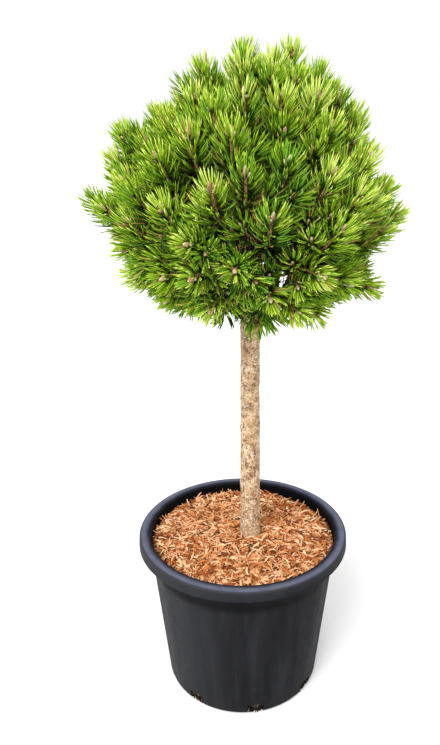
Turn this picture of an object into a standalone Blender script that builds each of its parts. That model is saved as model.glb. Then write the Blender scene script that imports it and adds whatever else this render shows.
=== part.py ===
"""A mountain pine trained as a standard: a round needled crown on a clear stem, in a nursery pot.

Metres, +Z up. The origin is the centre of the pot's flat underside, and -Y is the front.
From the ground up the object is a pot, the root ball that fills it, a layer of wood chips, the
trunk, one bough for each mass of foliage, and the masses. Each is an object of its own, and
pieces that rest on each other keep CLEARANCE between their faces.
"""

import math
import random

import bmesh
import bpy
from mathutils import Matrix, Vector
from mathutils.kdtree import KDTree

CLEARANCE = 0.0003
UP = Vector((0, 0, 1))
GOLDEN_TURN = math.pi * (3 - math.sqrt(5))

# Pot: a tapered nursery container with a turned-down lip and drain holes round its foot.
POT_HEIGHT = 0.312
POT_LIP_RADIUS = 0.1985
POT_LIP_DEPTH = 0.0205
POT_LIP_WIDTH = 0.0226
POT_LIP_ROUNDING = 0.004
POT_LIP_INNER_ROUNDING = 0.0024
POT_SHOULDER_RADIUS = 0.1790
POT_SHOULDER_DEPTH = 0.022
POT_SHOULDER_STEP = 0.0015
POT_SHOULDER_SLOPE = 0.004
POT_FOOT_RADIUS = 0.1493
POT_FOOT_ROUNDING = 0.008
POT_FLOOR_CHAMFER = 0.006
POT_WALL = 0.0028
POT_SIDES = 36
DRAIN_HOLES = 8
DRAIN_HOLE_WIDTH = 0.030
DRAIN_HOLE_HEIGHT = 0.023
DRAIN_HOLE_INSET = 0.020
DRAIN_HOLE_FIRST_DEG = 9.0

# Growing medium and the chips that cover it, measured below the top of the pot.
ROOT_BALL_CHAMFER = 0.010
MULCH_BELOW_LIP = 0.018
MULCH_DEPTH = 0.018
MULCH_ROUGHNESS = 0.0017
MULCH_RINGS = 4
MULCH_CHIPS = 5
CHIP_LENGTH = 0.034
CHIP_WIDTH = 0.007
CHIP_THICKNESS = 0.0052
CHIP_LENGTH_RANGE = (0.55, 1.0)
CHIP_WIDTH_RANGE = (0.7, 1.3)
CHIP_TAPER_RANGE = (0.45, 0.9)
CHIP_TILT = 0.16
CHIP_TO_WALL = 0.021

# Trunk: stands a little off the pot's centre, leans slightly and runs on into the crown.
TRUNK_FOOT = Vector((0.0146, 0.012, POT_HEIGHT - MULCH_BELOW_LIP - MULCH_DEPTH + CLEARANCE))
TRUNK_TOP = Vector((0.012, 0.012, 0.880))
TRUNK_FOOT_RADIUS = 0.0191
TRUNK_NECK_RADIUS = 0.0168
TRUNK_NECK_HEIGHT = 0.720
TRUNK_TOP_RADIUS = 0.0085
TRUNK_CAP = 0.006
ROOT_FLARE = 0.0052
ROOT_FLARE_HEIGHT = 0.016
TRUNK_SIDES = 14
TRUNK_RINGS = 15
TRUNK_RINGS_CROWDING = 1.35
# Knobs of the trunk: how many round it, their height as a share of its radius, and their winding.
TRUNK_KNOBS = ((3, 0.014, 41), (5, 0.011, -67))

# Crown: a broad ball of shoots. Buds lie on an ellipsoid, and needles stand past them.
CROWN_CENTRE = Vector((0.0110, 0.010, 0.926))
CROWN_WIDTH_RADIUS = 0.226
CROWN_HEIGHT_RADIUS = 0.206
# Each tier of foliage: its name, the height at which its boughs leave the trunk, the elevation of
# its masses seen from the crown's centre and how far they alternate about it, their reach as a
# share of the ellipsoid, how much their shoots turn up, and their azimuths from the front to +X.
TIERS = (
    ("crest", 0.860, 76, 4, 1.03, 0.62, (-90, 80)),
    ("upper", 0.827, 44, 4, 0.96, 0.58, (-70, -18, 40, 98, 158, -136)),
    ("middle", 0.787, 9, 4, 1.0, 0.50, (-90, -46, -2, 42, 88, 134, -178, -108, -138)),
    ("lower", 0.746, -36, 8, 1.05, 0.26, (-99, -67, -22, 23, 68, 99, 150, -160)),
)
WHORL_STAGGER = 0.013
WHORL_LEVELS = 3
# Masses that grow less or more than their tier, or stand higher or lower, and leading shoots that
# outgrow their mass.
VIGOUR = {"upper_1": 0.88, "middle_1": 1.03, "crest_1": 0.96, "crest_2": 0.97, "lower_2": 0.97}
RAISED_DEG = {
    "crest_1": 8,
    "crest_2": 3,
    "upper_1": -5,
    "middle_1": -14,
    "middle_5": -20,
    "middle_8": 21,
    "lower_1": -1,
    "lower_2": 12,
    "lower_3": 3,
    "lower_5": -7,
    "lower_6": 19,
}
OUTGROWN = {
    "crest_1": 1.045,
    "crest_2": 1.06,
    "middle_1": 1.09,
    "middle_5": 1.06,
    "middle_8": 1.07,
    "lower_1": 1.03,
    "lower_5": 1.05,
    "lower_6": 1.07,
}

# Boughs: tapering limbs that run half of the way from the trunk to the end of their mass.
BOUGH_SHARE = 0.48
BOUGH_ROOT_RADIUS = 0.0056
BOUGH_TIP_RADIUS = 0.0034
BOUGH_RISE = 0.30
BOUGH_LEAVING = 0.22
BOUGH_BEND = 0.55
PATH_STEPS = 100
BOUGH_SIDES = 5
BOUGH_RINGS = 4

# Foliage: twigs fork from the hub of a mass and curve up. Each ends in a brush of needles round
# a bud. A solid needle stands for several of the plant's own, and is as long as they are.
HUB_SHARE = 0.60
SIDE_SHOOTS = 4
SHOOT_SPREAD_DEG = 15.5
SHOOT_JITTER_DEG = 3.0
SHOOT_TURN_JITTER = 0.25
SHOOT_SHORTFALL = 0.06
STEM_RADIUS = 0.0034
STEM_PAST_HUB = 0.006
TWIG_RADII = (0.0028, 0.0028, 0.0034)
TWIG_BEND = 0.35
BRUSH_LENGTH = 0.048
BRUSH_RADIUS = 0.0050
BRUSH_TAPER = 0.25
BRUSH_SIDES = 5
BUD_LENGTH = 0.016
NEEDLE_LENGTH = 0.046
NEEDLE_LENGTH_RANGE = (0.90, 1.04)
NEEDLE_ANGLES_DEG = (74, 60, 46, 32)
NEEDLE_JITTER_DEG = 5
NEEDLE_HALF_WIDTH = 0.003
# Lengths that a needle tries in turn, and the places along it that have to be free.
NEEDLE_SHARES = (1.0, 0.8, 0.6, 0.4)
NEEDLE_TESTS = (0.5, 0.75, 1.0)
SITE_SPACING = 0.008
SHOOT_GAP = 0.014
NEEDLE_MARGIN = 0.0008
LIMB_MARGIN = 0.0015
TRUNK_IN_CROWN = 0.1

NEEDLE_GREEN = (0.16, 0.33, 0.035)
PALETTE = {
    "pot_plastic": ((0.022, 0.023, 0.026), 0.55),
    "growing_medium": ((0.055, 0.036, 0.022), 0.95),
    "wood_chips": ((0.52, 0.235, 0.085), 0.85),
    "trunk_bark": ((0.42, 0.29, 0.165), 0.85),
    "bough_bark": ((0.20, 0.105, 0.05), 0.85),
    "needles": (NEEDLE_GREEN, 0.5),
}


# ---------------------------------------------------------------- materials and meshes


def material(name):
    found = bpy.data.materials.get(name)
    if found:
        return found
    colour, roughness = PALETTE[name]
    made = bpy.data.materials.new(name)
    made.use_nodes = True
    shader = made.node_tree.nodes["Principled BSDF"]
    shader.inputs["Base Color"].default_value = (*colour, 1)
    shader.inputs["Roughness"].default_value = roughness
    shader.inputs["Metallic"].default_value = 0
    return made


def mesh_object(name, shape, finish, collection=None):
    """An object that holds the finished bmesh, with its faces turned outwards."""
    bmesh.ops.recalc_face_normals(shape, faces=shape.faces)
    mesh = bpy.data.meshes.new(name)
    shape.to_mesh(mesh)
    shape.free()
    mesh.materials.append(material(finish))
    made = bpy.data.objects.new(name, mesh)
    (collection or bpy.context.scene.collection).objects.link(made)
    return made


def skin(shape, rings, close_start=True, close_end=True):
    """Faces between rings of vertices. A ring of one vertex is a point."""
    for lower, upper in zip(rings, rings[1:]):
        count = max(len(lower), len(upper))
        for i in range(count):
            corners = [lower[i % len(lower)], lower[(i + 1) % len(lower)]]
            corners += [upper[(i + 1) % len(upper)], upper[i % len(upper)]]
            shape.faces.new(list(dict.fromkeys(corners)))
    if close_start and len(rings[0]) > 2:
        shape.faces.new(rings[0])
    if close_end and len(rings[-1]) > 2:
        shape.faces.new(rings[-1])


def lathe(profile, sides):
    """The solid that a closed outline of (radius, height) sweeps round the Z axis."""
    shape = bmesh.new()
    rings = []
    for radius, height in profile:
        if radius == 0:
            rings.append([shape.verts.new((0, 0, height))])
            continue
        turns = [math.tau * i / sides for i in range(sides)]
        rings.append(
            [shape.verts.new((radius * math.cos(a), radius * math.sin(a), height)) for a in turns]
        )
    skin(shape, rings, False, False)
    return shape


def rings_along(shape, points, radii, sides, rolls=None, ends=(None, None)):
    """Rings of vertices square to a line. The ends may face set directions instead."""
    rings = []
    side = None
    last = len(points) - 1
    for i, (point, radius) in enumerate(zip(points, radii)):
        along = (points[min(i + 1, last)] - points[max(i - 1, 0)]).normalized()
        along = {0: ends[0], last: ends[1]}.get(i) or along
        side = side or along.orthogonal().normalized()
        side = (side - along * side.dot(along)).normalized()
        across = along.cross(side)
        turns = [(rolls[i] if rolls else 0) + math.tau * k / sides for k in range(sides)]
        spokes = [side * math.cos(turn) + across * math.sin(turn) for turn in turns]
        rings.append([shape.verts.new(point + spoke * radius) for spoke in spokes])
    return rings


def bezier(start, first, second, end, count):
    """Points spaced evenly in parameter along a cubic curve."""
    found = []
    for i in range(count):
        t = i / (count - 1)
        s = 1 - t
        found.append(s**3 * start + 3 * s * s * t * first + 3 * s * t * t * second + t**3 * end)
    return found


def direction(azimuth_deg, elevation_deg):
    """Unit vector: azimuth from the front (-Y) towards +X, elevation above the horizon."""
    azimuth, elevation = math.radians(azimuth_deg), math.radians(elevation_deg)
    flat = math.cos(elevation)
    return Vector((flat * math.sin(azimuth), -flat * math.cos(azimuth), math.sin(elevation)))


def bake(obj):
    """Replaces the object's mesh by what its modifiers make of it."""
    evaluated = obj.evaluated_get(bpy.context.evaluated_depsgraph_get())
    mesh = bpy.data.meshes.new_from_object(evaluated)
    obj.modifiers.clear()
    obj.data = mesh


def carve(obj, cutter):
    """Cuts the helper object out of the piece."""
    cut = obj.modifiers.new("cut", "BOOLEAN")
    cut.operation = "DIFFERENCE"
    cut.solver = "EXACT"
    cut.object = cutter
    cutter.hide_render = True
    cutter.display_type = "WIRE"


def fuse(obj, collection):
    """Joins every object of the collection to obj, then removes the collection."""
    join = obj.modifiers.new("join", "BOOLEAN")
    join.operation = "UNION"
    join.solver = "MANIFOLD"
    join.operand_type = "COLLECTION"
    join.collection = collection
    bpy.context.view_layer.update()
    bake(obj)
    for part in list(collection.objects):
        bpy.data.objects.remove(part)
    bpy.data.collections.remove(collection)


def helper_collection(name):
    made = bpy.data.collections.new(name)
    bpy.context.scene.collection.children.link(made)
    return made


# ---------------------------------------------------------------- pot and what fills it


def pot_wall_radius(height):
    """Outer radius of the pot's tapered wall, below its shoulder."""
    share = (height - POT_FOOT_ROUNDING) / (POT_HEIGHT - POT_LIP_DEPTH - POT_FOOT_ROUNDING)
    foot = POT_FOOT_RADIUS
    return foot + (POT_SHOULDER_RADIUS - POT_SHOULDER_STEP - foot) * share


def pot_inner_radius(height):
    return pot_wall_radius(height) - POT_WALL


def pot_profile():
    top = POT_HEIGHT
    lip_foot = top - POT_LIP_DEPTH
    shoulder_foot = lip_foot - POT_SHOULDER_DEPTH
    lip_inner = POT_LIP_RADIUS - POT_LIP_WIDTH
    lip_corner = POT_LIP_ROUNDING * (1 - math.sqrt(0.5))
    corner = [
        (
            POT_FOOT_RADIUS - POT_FOOT_ROUNDING * (1 - math.sin(a)),
            POT_FOOT_ROUNDING * (1 - math.cos(a)),
        )
        for a in (0, math.pi / 4, math.pi / 2)
    ]
    outside = [
        (0, 0),
        *corner,
        (pot_wall_radius(shoulder_foot), shoulder_foot),
        (POT_SHOULDER_RADIUS, shoulder_foot + POT_SHOULDER_SLOPE),
        (POT_SHOULDER_RADIUS, top - POT_WALL),
    ]
    lip = [
        (POT_LIP_RADIUS - POT_WALL, top - POT_WALL),
        (POT_LIP_RADIUS - POT_WALL, lip_foot),
        (POT_LIP_RADIUS, lip_foot),
        (POT_LIP_RADIUS, top - POT_LIP_ROUNDING),
        (POT_LIP_RADIUS - lip_corner, top - lip_corner),
        (POT_LIP_RADIUS - POT_LIP_ROUNDING, top),
        (lip_inner + POT_LIP_INNER_ROUNDING, top),
        (lip_inner, top - POT_LIP_INNER_ROUNDING),
    ]
    inside = [
        (pot_inner_radius(lip_foot), lip_foot),
        (pot_inner_radius(POT_FOOT_ROUNDING), POT_FOOT_ROUNDING),
        (pot_inner_radius(POT_FOOT_ROUNDING) - POT_FLOOR_CHAMFER, POT_WALL),
        (0, POT_WALL),
    ]
    return outside + lip + inside


def drain_cutters():
    """One body for each drain hole, through the corner where the wall meets the foot."""
    shape = bmesh.new()
    for i in range(DRAIN_HOLES):
        turn = Matrix.Rotation(math.radians(DRAIN_HOLE_FIRST_DEG) + math.tau * i / DRAIN_HOLES, 4, "Z")
        size = Matrix.Diagonal((DRAIN_HOLE_WIDTH, DRAIN_HOLE_INSET * 2, DRAIN_HOLE_HEIGHT * 2, 1))
        place = Matrix.Translation((0, -POT_FOOT_RADIUS, 0))
        bmesh.ops.create_cube(shape, size=1, matrix=turn @ place @ size)
    return mesh_object("drain_cutters", shape, "pot_plastic")


def make_pot():
    pot = mesh_object("pot", lathe(pot_profile(), POT_SIDES), "pot_plastic")
    carve(pot, drain_cutters())
    return pot


def filling_profile(bottom, top):
    """A plug of the pot's inside between two heights, clear of its wall."""
    slack = CLEARANCE / math.cos(math.pi / POT_SIDES)
    return [
        (0, bottom),
        (pot_inner_radius(bottom) - slack, bottom),
        (pot_inner_radius(top) - slack, top),
        (0, top),
    ]


def make_root_ball():
    """The medium and roots: a plug of the pot's shape with a chamfered foot."""
    top = POT_HEIGHT - MULCH_BELOW_LIP - MULCH_DEPTH
    foot = POT_WALL + CLEARANCE
    profile = filling_profile(foot + ROOT_BALL_CHAMFER, top)
    profile[0] = (pot_inner_radius(foot) - ROOT_BALL_CHAMFER, foot)
    profile.insert(0, (0, foot))
    return mesh_object("root_ball", lathe(profile, POT_SIDES), "growing_medium")


def chip(shape, rng, place):
    """A split sliver of wood: a box that tapers, tilts and lies half in the mulch."""
    length = CHIP_LENGTH * rng.uniform(*CHIP_LENGTH_RANGE)
    width = CHIP_WIDTH * rng.uniform(*CHIP_WIDTH_RANGE)
    size = Matrix.Diagonal((length, width, CHIP_THICKNESS, 1))
    tilt = Matrix.Rotation(rng.uniform(-CHIP_TILT, CHIP_TILT), 4, "Y")
    turn = Matrix.Rotation(rng.uniform(0, math.tau), 4, "Z")
    box = bmesh.ops.create_cube(shape, size=1, matrix=Matrix.Translation(place) @ turn @ tilt @ size)
    narrow = rng.uniform(*CHIP_TAPER_RANGE)
    far = turn @ Vector((1, 0, 0))
    middle = Vector(place)
    for vertex in box["verts"]:
        offset = vertex.co - middle
        if offset.dot(far) > 0:
            lengthwise = far * offset.dot(far)
            vertex.co = middle + lengthwise + (offset - lengthwise) * narrow


def make_mulch(trunk_gap):
    """A layer of chips with a rough top, round the trunk and clear of the pot's wall."""
    rng = random.Random(11)
    top = POT_HEIGHT - MULCH_BELOW_LIP
    bottom = top - MULCH_DEPTH + CLEARANCE
    lower, edge = filling_profile(bottom, top)[1:3]
    shape = bmesh.new()
    rings = [[shape.verts.new((0, 0, bottom))]]
    stations = [lower, edge]
    stations += [(edge[0] * (1 - i / MULCH_RINGS), top) for i in range(1, MULCH_RINGS)]
    for index, (radius, height) in enumerate(stations):
        ring = []
        for i in range(POT_SIDES):
            turn = math.tau * i / POT_SIDES
            rise = rng.uniform(-1, 1) * MULCH_ROUGHNESS if index else 0
            ring.append(
                shape.verts.new((radius * math.cos(turn), radius * math.sin(turn), height + rise))
            )
        rings.append(ring)
    rings.append([shape.verts.new((0, 0, top))])
    skin(shape, rings, False, False)
    mulch = mesh_object("wood_chip_mulch", shape, "wood_chips")
    chips = helper_collection("chips")
    for i in range(MULCH_CHIPS):
        spread = (edge[0] - CHIP_TO_WALL) * math.sqrt((i + 0.5) / MULCH_CHIPS)
        turn = i * GOLDEN_TURN
        place = (spread * math.cos(turn), spread * math.sin(turn), top)
        part = bmesh.new()
        chip(part, rng, place)
        mesh_object(f"chip_{i}", part, "wood_chips", chips)
    fuse(mulch, chips)
    carve(mulch, trunk_gap)
    return mulch


# ---------------------------------------------------------------- trunk and boughs


def trunk_axis(height):
    share = (height - TRUNK_FOOT.z) / (TRUNK_TOP.z - TRUNK_FOOT.z)
    return TRUNK_FOOT.lerp(TRUNK_TOP, share)


def trunk_radius(height):
    """A long even taper to the neck, a quick one inside the crown, and the root flare."""
    if height < TRUNK_NECK_HEIGHT:
        share = (height - TRUNK_FOOT.z) / (TRUNK_NECK_HEIGHT - TRUNK_FOOT.z)
        radius = TRUNK_FOOT_RADIUS + (TRUNK_NECK_RADIUS - TRUNK_FOOT_RADIUS) * share
    else:
        share = (height - TRUNK_NECK_HEIGHT) / (TRUNK_TOP.z - TRUNK_NECK_HEIGHT)
        radius = TRUNK_NECK_RADIUS + (TRUNK_TOP_RADIUS - TRUNK_NECK_RADIUS) * share
    return radius + ROOT_FLARE * math.exp(-(height - TRUNK_FOOT.z) / ROOT_FLARE_HEIGHT)


def trunk_body(name, extra):
    """The trunk, or with extra radius the space that its neighbours keep clear of."""
    shape = bmesh.new()
    heights = []
    for i in range(TRUNK_RINGS):
        share = i / (TRUNK_RINGS - 1)
        heights.append(TRUNK_FOOT.z + (TRUNK_TOP.z - TRUNK_FOOT.z) * share**TRUNK_RINGS_CROWDING)
    heights.insert(1, TRUNK_FOOT.z + ROOT_FLARE_HEIGHT / 2)
    rings = []
    for number, height in enumerate(heights):
        centre = trunk_axis(height)
        below = 0 if number else extra
        ring = []
        for k in range(TRUNK_SIDES):
            turn = math.tau * k / TRUNK_SIDES
            knobs = sum(high * math.sin(n * turn + wind * height) for n, high, wind in TRUNK_KNOBS)
            radius = trunk_radius(height) * (1 + knobs) + extra / math.cos(math.pi / TRUNK_SIDES)
            out = Vector((math.cos(turn), math.sin(turn), 0))
            ring.append(shape.verts.new(centre + out * radius - UP * below))
        rings.append(ring)
    rings.append([shape.verts.new(TRUNK_TOP + UP * (TRUNK_CAP + extra))])
    skin(shape, rings)
    return mesh_object(name, shape, "trunk_bark")


def crown_point(outward, reach):
    """A place on the crown's ellipsoid, or inside or outside it by the reach."""
    flat = Vector((outward.x, outward.y, 0)) * CROWN_WIDTH_RADIUS
    return CROWN_CENTRE + (flat + UP * outward.z * CROWN_HEIGHT_RADIUS) * reach


class Mass:
    """Where one mass of foliage and its bough lie, all worked out from its tier."""

    def __init__(self, tier, number, root_height, elevation, sway, reach, lift, azimuth):
        self.name = f"{tier}_{number}"
        self.lift = lift
        stagger = 1 if number % 2 else -1
        raised = RAISED_DEG.get(self.name, 0)
        self.outward = direction(azimuth, elevation + raised + sway * stagger)
        self.reach = reach * VIGOUR.get(self.name, 1)
        self.leader_reach = self.reach * OUTGROWN.get(self.name, 1)
        self.root = trunk_axis(root_height + WHORL_STAGGER * (number % WHORL_LEVELS - 1))
        self.end = crown_point(self.outward, self.leader_reach)
        chord = self.end - self.root
        leaving = direction(azimuth, 0) * (1 - BOUGH_RISE) + UP * BOUGH_RISE
        if tier == "crest":
            leaving = leaving + UP
        leaving.normalize()
        self.path = bezier(
            self.root,
            self.root + leaving * chord.length * BOUGH_LEAVING,
            self.root.lerp(self.end, BOUGH_BEND),
            self.end,
            PATH_STEPS + 1,
        )

    def at(self, share):
        return self.path[round(share * PATH_STEPS)]

    def heading(self, share):
        step = round(share * PATH_STEPS)
        return (self.path[min(step + 1, PATH_STEPS)] - self.path[max(step - 1, 0)]).normalized()


def all_masses():
    return [
        Mass(tier, number, *rule, azimuth)
        for tier, *rule, azimuths in TIERS
        for number, azimuth in enumerate(azimuths, 1)
    ]


def bough_line(mass):
    """Points and radii of a bough, from the trunk's axis to the tip that meets the foliage."""
    points, radii = [], []
    for i in range(BOUGH_RINGS):
        share = i / (BOUGH_RINGS - 1)
        points.append(mass.at(BOUGH_SHARE * share))
        radii.append(BOUGH_ROOT_RADIUS + (BOUGH_TIP_RADIUS - BOUGH_ROOT_RADIUS) * share)
    return points, radii


def make_bough(mass, trunk_gap):
    shape = bmesh.new()
    points, radii = bough_line(mass)
    skin(shape, rings_along(shape, points, radii, BOUGH_SIDES, ends=(None, mass.heading(BOUGH_SHARE))))
    bough = mesh_object(f"bough_{mass.name}", shape, "bough_bark")
    carve(bough, trunk_gap)
    return bough


# ---------------------------------------------------------------- foliage


class Shoot:
    """A twig from its mass's hub to a bud, with the straight brush that its needles stand on."""

    def __init__(self, mass, outward, reach, rng):
        self.mass = mass
        self.heading = (outward * (1 - mass.lift) + UP * mass.lift).normalized()
        self.bud = crown_point(outward, reach)
        self.foot = self.bud - self.heading * BRUSH_LENGTH
        hub = mass.at(HUB_SHARE)
        length = (self.foot - hub).length
        leaving = hub + mass.heading(HUB_SHARE) * length * TWIG_BEND
        arriving = self.foot - self.heading * length * TWIG_BEND
        self.twig = bezier(hub, leaving, arriving, self.foot, len(TWIG_RADII))
        self.roll = rng.uniform(0, math.tau)
        self.jitter = random.Random(rng.random())

    def line(self):
        return self.twig + [self.bud]


def shoots_of(mass, rng):
    """The leader of a mass and the side shoots round it."""
    side = mass.outward.orthogonal().normalized()
    first = rng.uniform(0, math.tau)
    found = []
    for i in range(SIDE_SHOOTS + 1):
        outward = mass.outward
        turn = first + math.tau * i / SIDE_SHOOTS
        turn += rng.uniform(-SHOOT_TURN_JITTER, SHOOT_TURN_JITTER)
        spread = math.radians(SHOOT_SPREAD_DEG + rng.uniform(-1, 1) * SHOOT_JITTER_DEG)
        reach = mass.reach * (1 - rng.uniform(0, SHOOT_SHORTFALL))
        if i:
            around = Matrix.Rotation(turn, 3, mass.outward) @ side
            outward = Matrix.Rotation(spread, 3, around) @ mass.outward
        found.append(Shoot(mass, outward, reach if i else mass.leader_reach, rng))
    return found


def along_line(points, spacing):
    """Points no further apart than the spacing along a broken line."""
    found = [points[0]]
    for start, end in zip(points, points[1:]):
        steps = math.ceil((end - start).length / spacing)
        found += [start.lerp(end, (i + 1) / steps) for i in range(steps)]
    return found


def limb_sites(masses):
    """(point, radius) along every bough and the trunk's top, which needles keep clear of."""
    found = []
    for mass in masses:
        points, radii = bough_line(mass)
        found += [(point, radii[0]) for point in along_line(points, SITE_SPACING / 2)]
    top = [trunk_axis(TRUNK_NECK_HEIGHT - TRUNK_IN_CROWN), trunk_axis(TRUNK_TOP.z)]
    found += [(point, trunk_radius(point.z)) for point in along_line(top, SITE_SPACING / 2)]
    return found


def grow_shoots(masses):
    """Every shoot of the crown in order, less those that would crowd an earlier one."""
    kept = []
    for seed, mass in enumerate(masses, 100):
        rng = random.Random(seed)
        for shoot in shoots_of(mass, rng):
            brush = along_line([shoot.foot, shoot.bud], SITE_SPACING)
            crowded = any(
                (mine - theirs).length < SHOOT_GAP + (0 if other.mass is mass else SHOOT_GAP)
                for other in kept
                for theirs in along_line([other.twig[-1], other.bud], SITE_SPACING)
                for mine in brush
            )
            if not crowded:
                kept.append(shoot)
    return kept


class Space:
    """Tells whether a needle keeps to its own shoot's space and clear of the limbs."""

    def __init__(self, shoots, limbs):
        self.owners = []
        points = []
        for shoot in shoots:
            sites = along_line(shoot.line(), SITE_SPACING)
            points += sites
            self.owners += [shoot] * len(sites)
        self.tree = KDTree(len(points))
        for index, point in enumerate(points):
            self.tree.insert(point, index)
        self.tree.balance()
        self.limbs = limbs
        self.limb_tree = KDTree(len(limbs))
        for index, (point, _) in enumerate(limbs):
            self.limb_tree.insert(point, index)
        self.limb_tree.balance()

    def allows(self, shoot, point, thickness):
        along = max(0.0, min(BRUSH_LENGTH, (point - shoot.foot).dot(shoot.heading)))
        own = (point - shoot.foot - shoot.heading * along).length
        others = self.tree.find(point, filter=lambda index: self.owners[index] is not shoot)
        if others[0] and others[2] < own + 2 * (thickness + NEEDLE_MARGIN):
            return False
        _, index, gap = self.limb_tree.find(point)
        return gap > self.limbs[index][1] + thickness + LIMB_MARGIN


def needle_tip(shoot, space, root, aim):
    """The end of a needle, shortened to its shoot's space, or None where there is no room."""
    length = NEEDLE_LENGTH * shoot.jitter.uniform(*NEEDLE_LENGTH_RANGE)
    for share in NEEDLE_SHARES:
        end = root + aim * length * share
        if all(
            space.allows(shoot, root.lerp(end, part), NEEDLE_HALF_WIDTH * (1 - part))
            for part in NEEDLE_TESTS
        ):
            return end
    return None


def shoot_body(shoot, space):
    """One closed body: the twig, then rings of needles drawn out of the brush's sides, then the bud."""
    shape = bmesh.new()
    points, radii, rolls = list(shoot.twig), list(TWIG_RADII), [shoot.roll] * len(TWIG_RADII)
    for level in range(1, len(NEEDLE_ANGLES_DEG) + 1):
        share = level / len(NEEDLE_ANGLES_DEG)
        points.append(shoot.foot.lerp(shoot.bud, share))
        radii.append(BRUSH_RADIUS * (1 - BRUSH_TAPER * share))
        rolls.append(shoot.roll + level * math.pi / BRUSH_SIDES)
    rings = rings_along(shape, points, radii, BRUSH_SIDES, rolls)
    brush = rings[len(TWIG_RADII) - 1 :]
    skin(shape, rings[: len(TWIG_RADII)], close_end=False)
    for lower, upper, angle_deg in zip(brush, brush[1:], NEEDLE_ANGLES_DEG):
        for k in range(BRUSH_SIDES):
            after = (k + 1) % BRUSH_SIDES
            draw_needle(shape, [lower[k], lower[after], upper[after], upper[k]], shoot, space, angle_deg)
    bud_tip = shape.verts.new(shoot.bud + shoot.heading * BUD_LENGTH)
    skin(shape, [brush[-1], [bud_tip]], False, False)
    return shape


def draw_needle(shape, base, shoot, space, angle_deg):
    """A needle drawn out of one side of the brush, which stays plain where there is no room."""
    root = sum((vertex.co for vertex in base), Vector()) / 4
    out = root - shoot.foot
    out = (out - shoot.heading * out.dot(shoot.heading)).normalized()
    angle = math.radians(angle_deg + shoot.jitter.uniform(-1, 1) * NEEDLE_JITTER_DEG)
    end = needle_tip(shoot, space, root, shoot.heading * math.cos(angle) + out * math.sin(angle))
    if end is None:
        shape.faces.new(base[:3])
        shape.faces.new((base[0], base[2], base[3]))
        return
    tip = shape.verts.new(end)
    for i in range(4):
        shape.faces.new((base[i], base[(i + 1) % 4], tip))


def make_foliage(mass, shoots, space):
    leaving = mass.heading(BOUGH_SHARE)
    start = mass.at(BOUGH_SHARE) + leaving * CLEARANCE
    past_hub = mass.at(HUB_SHARE) + mass.heading(HUB_SHARE) * STEM_PAST_HUB
    stem = bmesh.new()
    radii = [BOUGH_TIP_RADIUS, STEM_RADIUS]
    skin(stem, rings_along(stem, [start, past_hub], radii, BOUGH_SIDES, ends=(leaving, None)))
    foliage = mesh_object(f"foliage_{mass.name}", stem, "needles")
    parts = helper_collection("parts")
    for number, shoot in enumerate(shoots):
        if shoot.mass is mass:
            mesh_object(f"shoot_{number}", shoot_body(shoot, space), "needles", parts)
    fuse(foliage, parts)
    return foliage


def clear_scene():
    for obj in list(bpy.data.objects):
        bpy.data.objects.remove(obj)


def build():
    clear_scene()
    trunk_gap = trunk_body("trunk_gap", CLEARANCE)
    trunk_body("trunk", 0)
    make_pot()
    make_root_ball()
    make_mulch(trunk_gap)
    masses = all_masses()
    for mass in masses:
        make_bough(mass, trunk_gap)
    shoots = grow_shoots(masses)
    space = Space(shoots, limb_sites(masses))
    for mass in masses:
        make_foliage(mass, shoots, space)


build()
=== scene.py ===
"""Looks of the mountain pine standard: bark, needled sprays, wood chips and a weathered pot."""

import random
from math import ceil, cos, exp, hypot, pi, radians, sin, sqrt, tau

import bpy
import numpy as np
from mathutils import Matrix, Vector, noise


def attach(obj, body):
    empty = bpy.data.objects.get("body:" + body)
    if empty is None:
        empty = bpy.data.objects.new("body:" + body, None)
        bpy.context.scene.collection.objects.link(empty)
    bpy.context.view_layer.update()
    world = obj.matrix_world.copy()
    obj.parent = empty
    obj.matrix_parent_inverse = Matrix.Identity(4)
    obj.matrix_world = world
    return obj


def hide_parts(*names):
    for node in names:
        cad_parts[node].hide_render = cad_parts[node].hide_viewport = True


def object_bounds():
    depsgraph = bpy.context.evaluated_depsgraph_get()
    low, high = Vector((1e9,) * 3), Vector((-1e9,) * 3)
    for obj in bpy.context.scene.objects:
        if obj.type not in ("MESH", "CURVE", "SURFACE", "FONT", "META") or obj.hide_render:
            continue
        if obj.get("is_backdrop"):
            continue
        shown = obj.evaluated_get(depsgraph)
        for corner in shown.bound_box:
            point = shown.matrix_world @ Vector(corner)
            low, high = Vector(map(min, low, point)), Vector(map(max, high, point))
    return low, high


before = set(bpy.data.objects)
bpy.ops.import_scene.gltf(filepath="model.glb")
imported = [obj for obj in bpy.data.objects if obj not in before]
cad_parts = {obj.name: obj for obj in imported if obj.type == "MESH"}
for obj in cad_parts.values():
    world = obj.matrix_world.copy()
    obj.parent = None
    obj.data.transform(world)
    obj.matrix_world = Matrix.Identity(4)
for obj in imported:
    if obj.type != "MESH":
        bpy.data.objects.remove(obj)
cad_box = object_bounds()

UP = Vector((0, 0, 1))
GOLDEN_TURN = pi * (3 - sqrt(5))

# Measures of the model that the looks keep to.
POT_HEIGHT = 0.312
POT_LIP_RADIUS = 0.1985
POT_LIP_DEPTH = 0.0205
POT_LIP_WIDTH = 0.0226
POT_LIP_ROUNDING = 0.0042
POT_SHOULDER_RADIUS = 0.179
POT_SHOULDER_DEPTH = 0.022
POT_SHOULDER_STEP = 0.0015
POT_FOOT_RADIUS = 0.1493
POT_FOOT_ROUNDING = 0.008
POT_WALL = 0.0028
DRAIN_HOLES = 8
DRAIN_HOLE_WIDTH = 0.03
DRAIN_HOLE_HEIGHT = 0.023
DRAIN_HOLE_INSET = 0.02
DRAIN_HOLE_FIRST_DEG = 9.0
MULCH_TOP = POT_HEIGHT - 0.018

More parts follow.
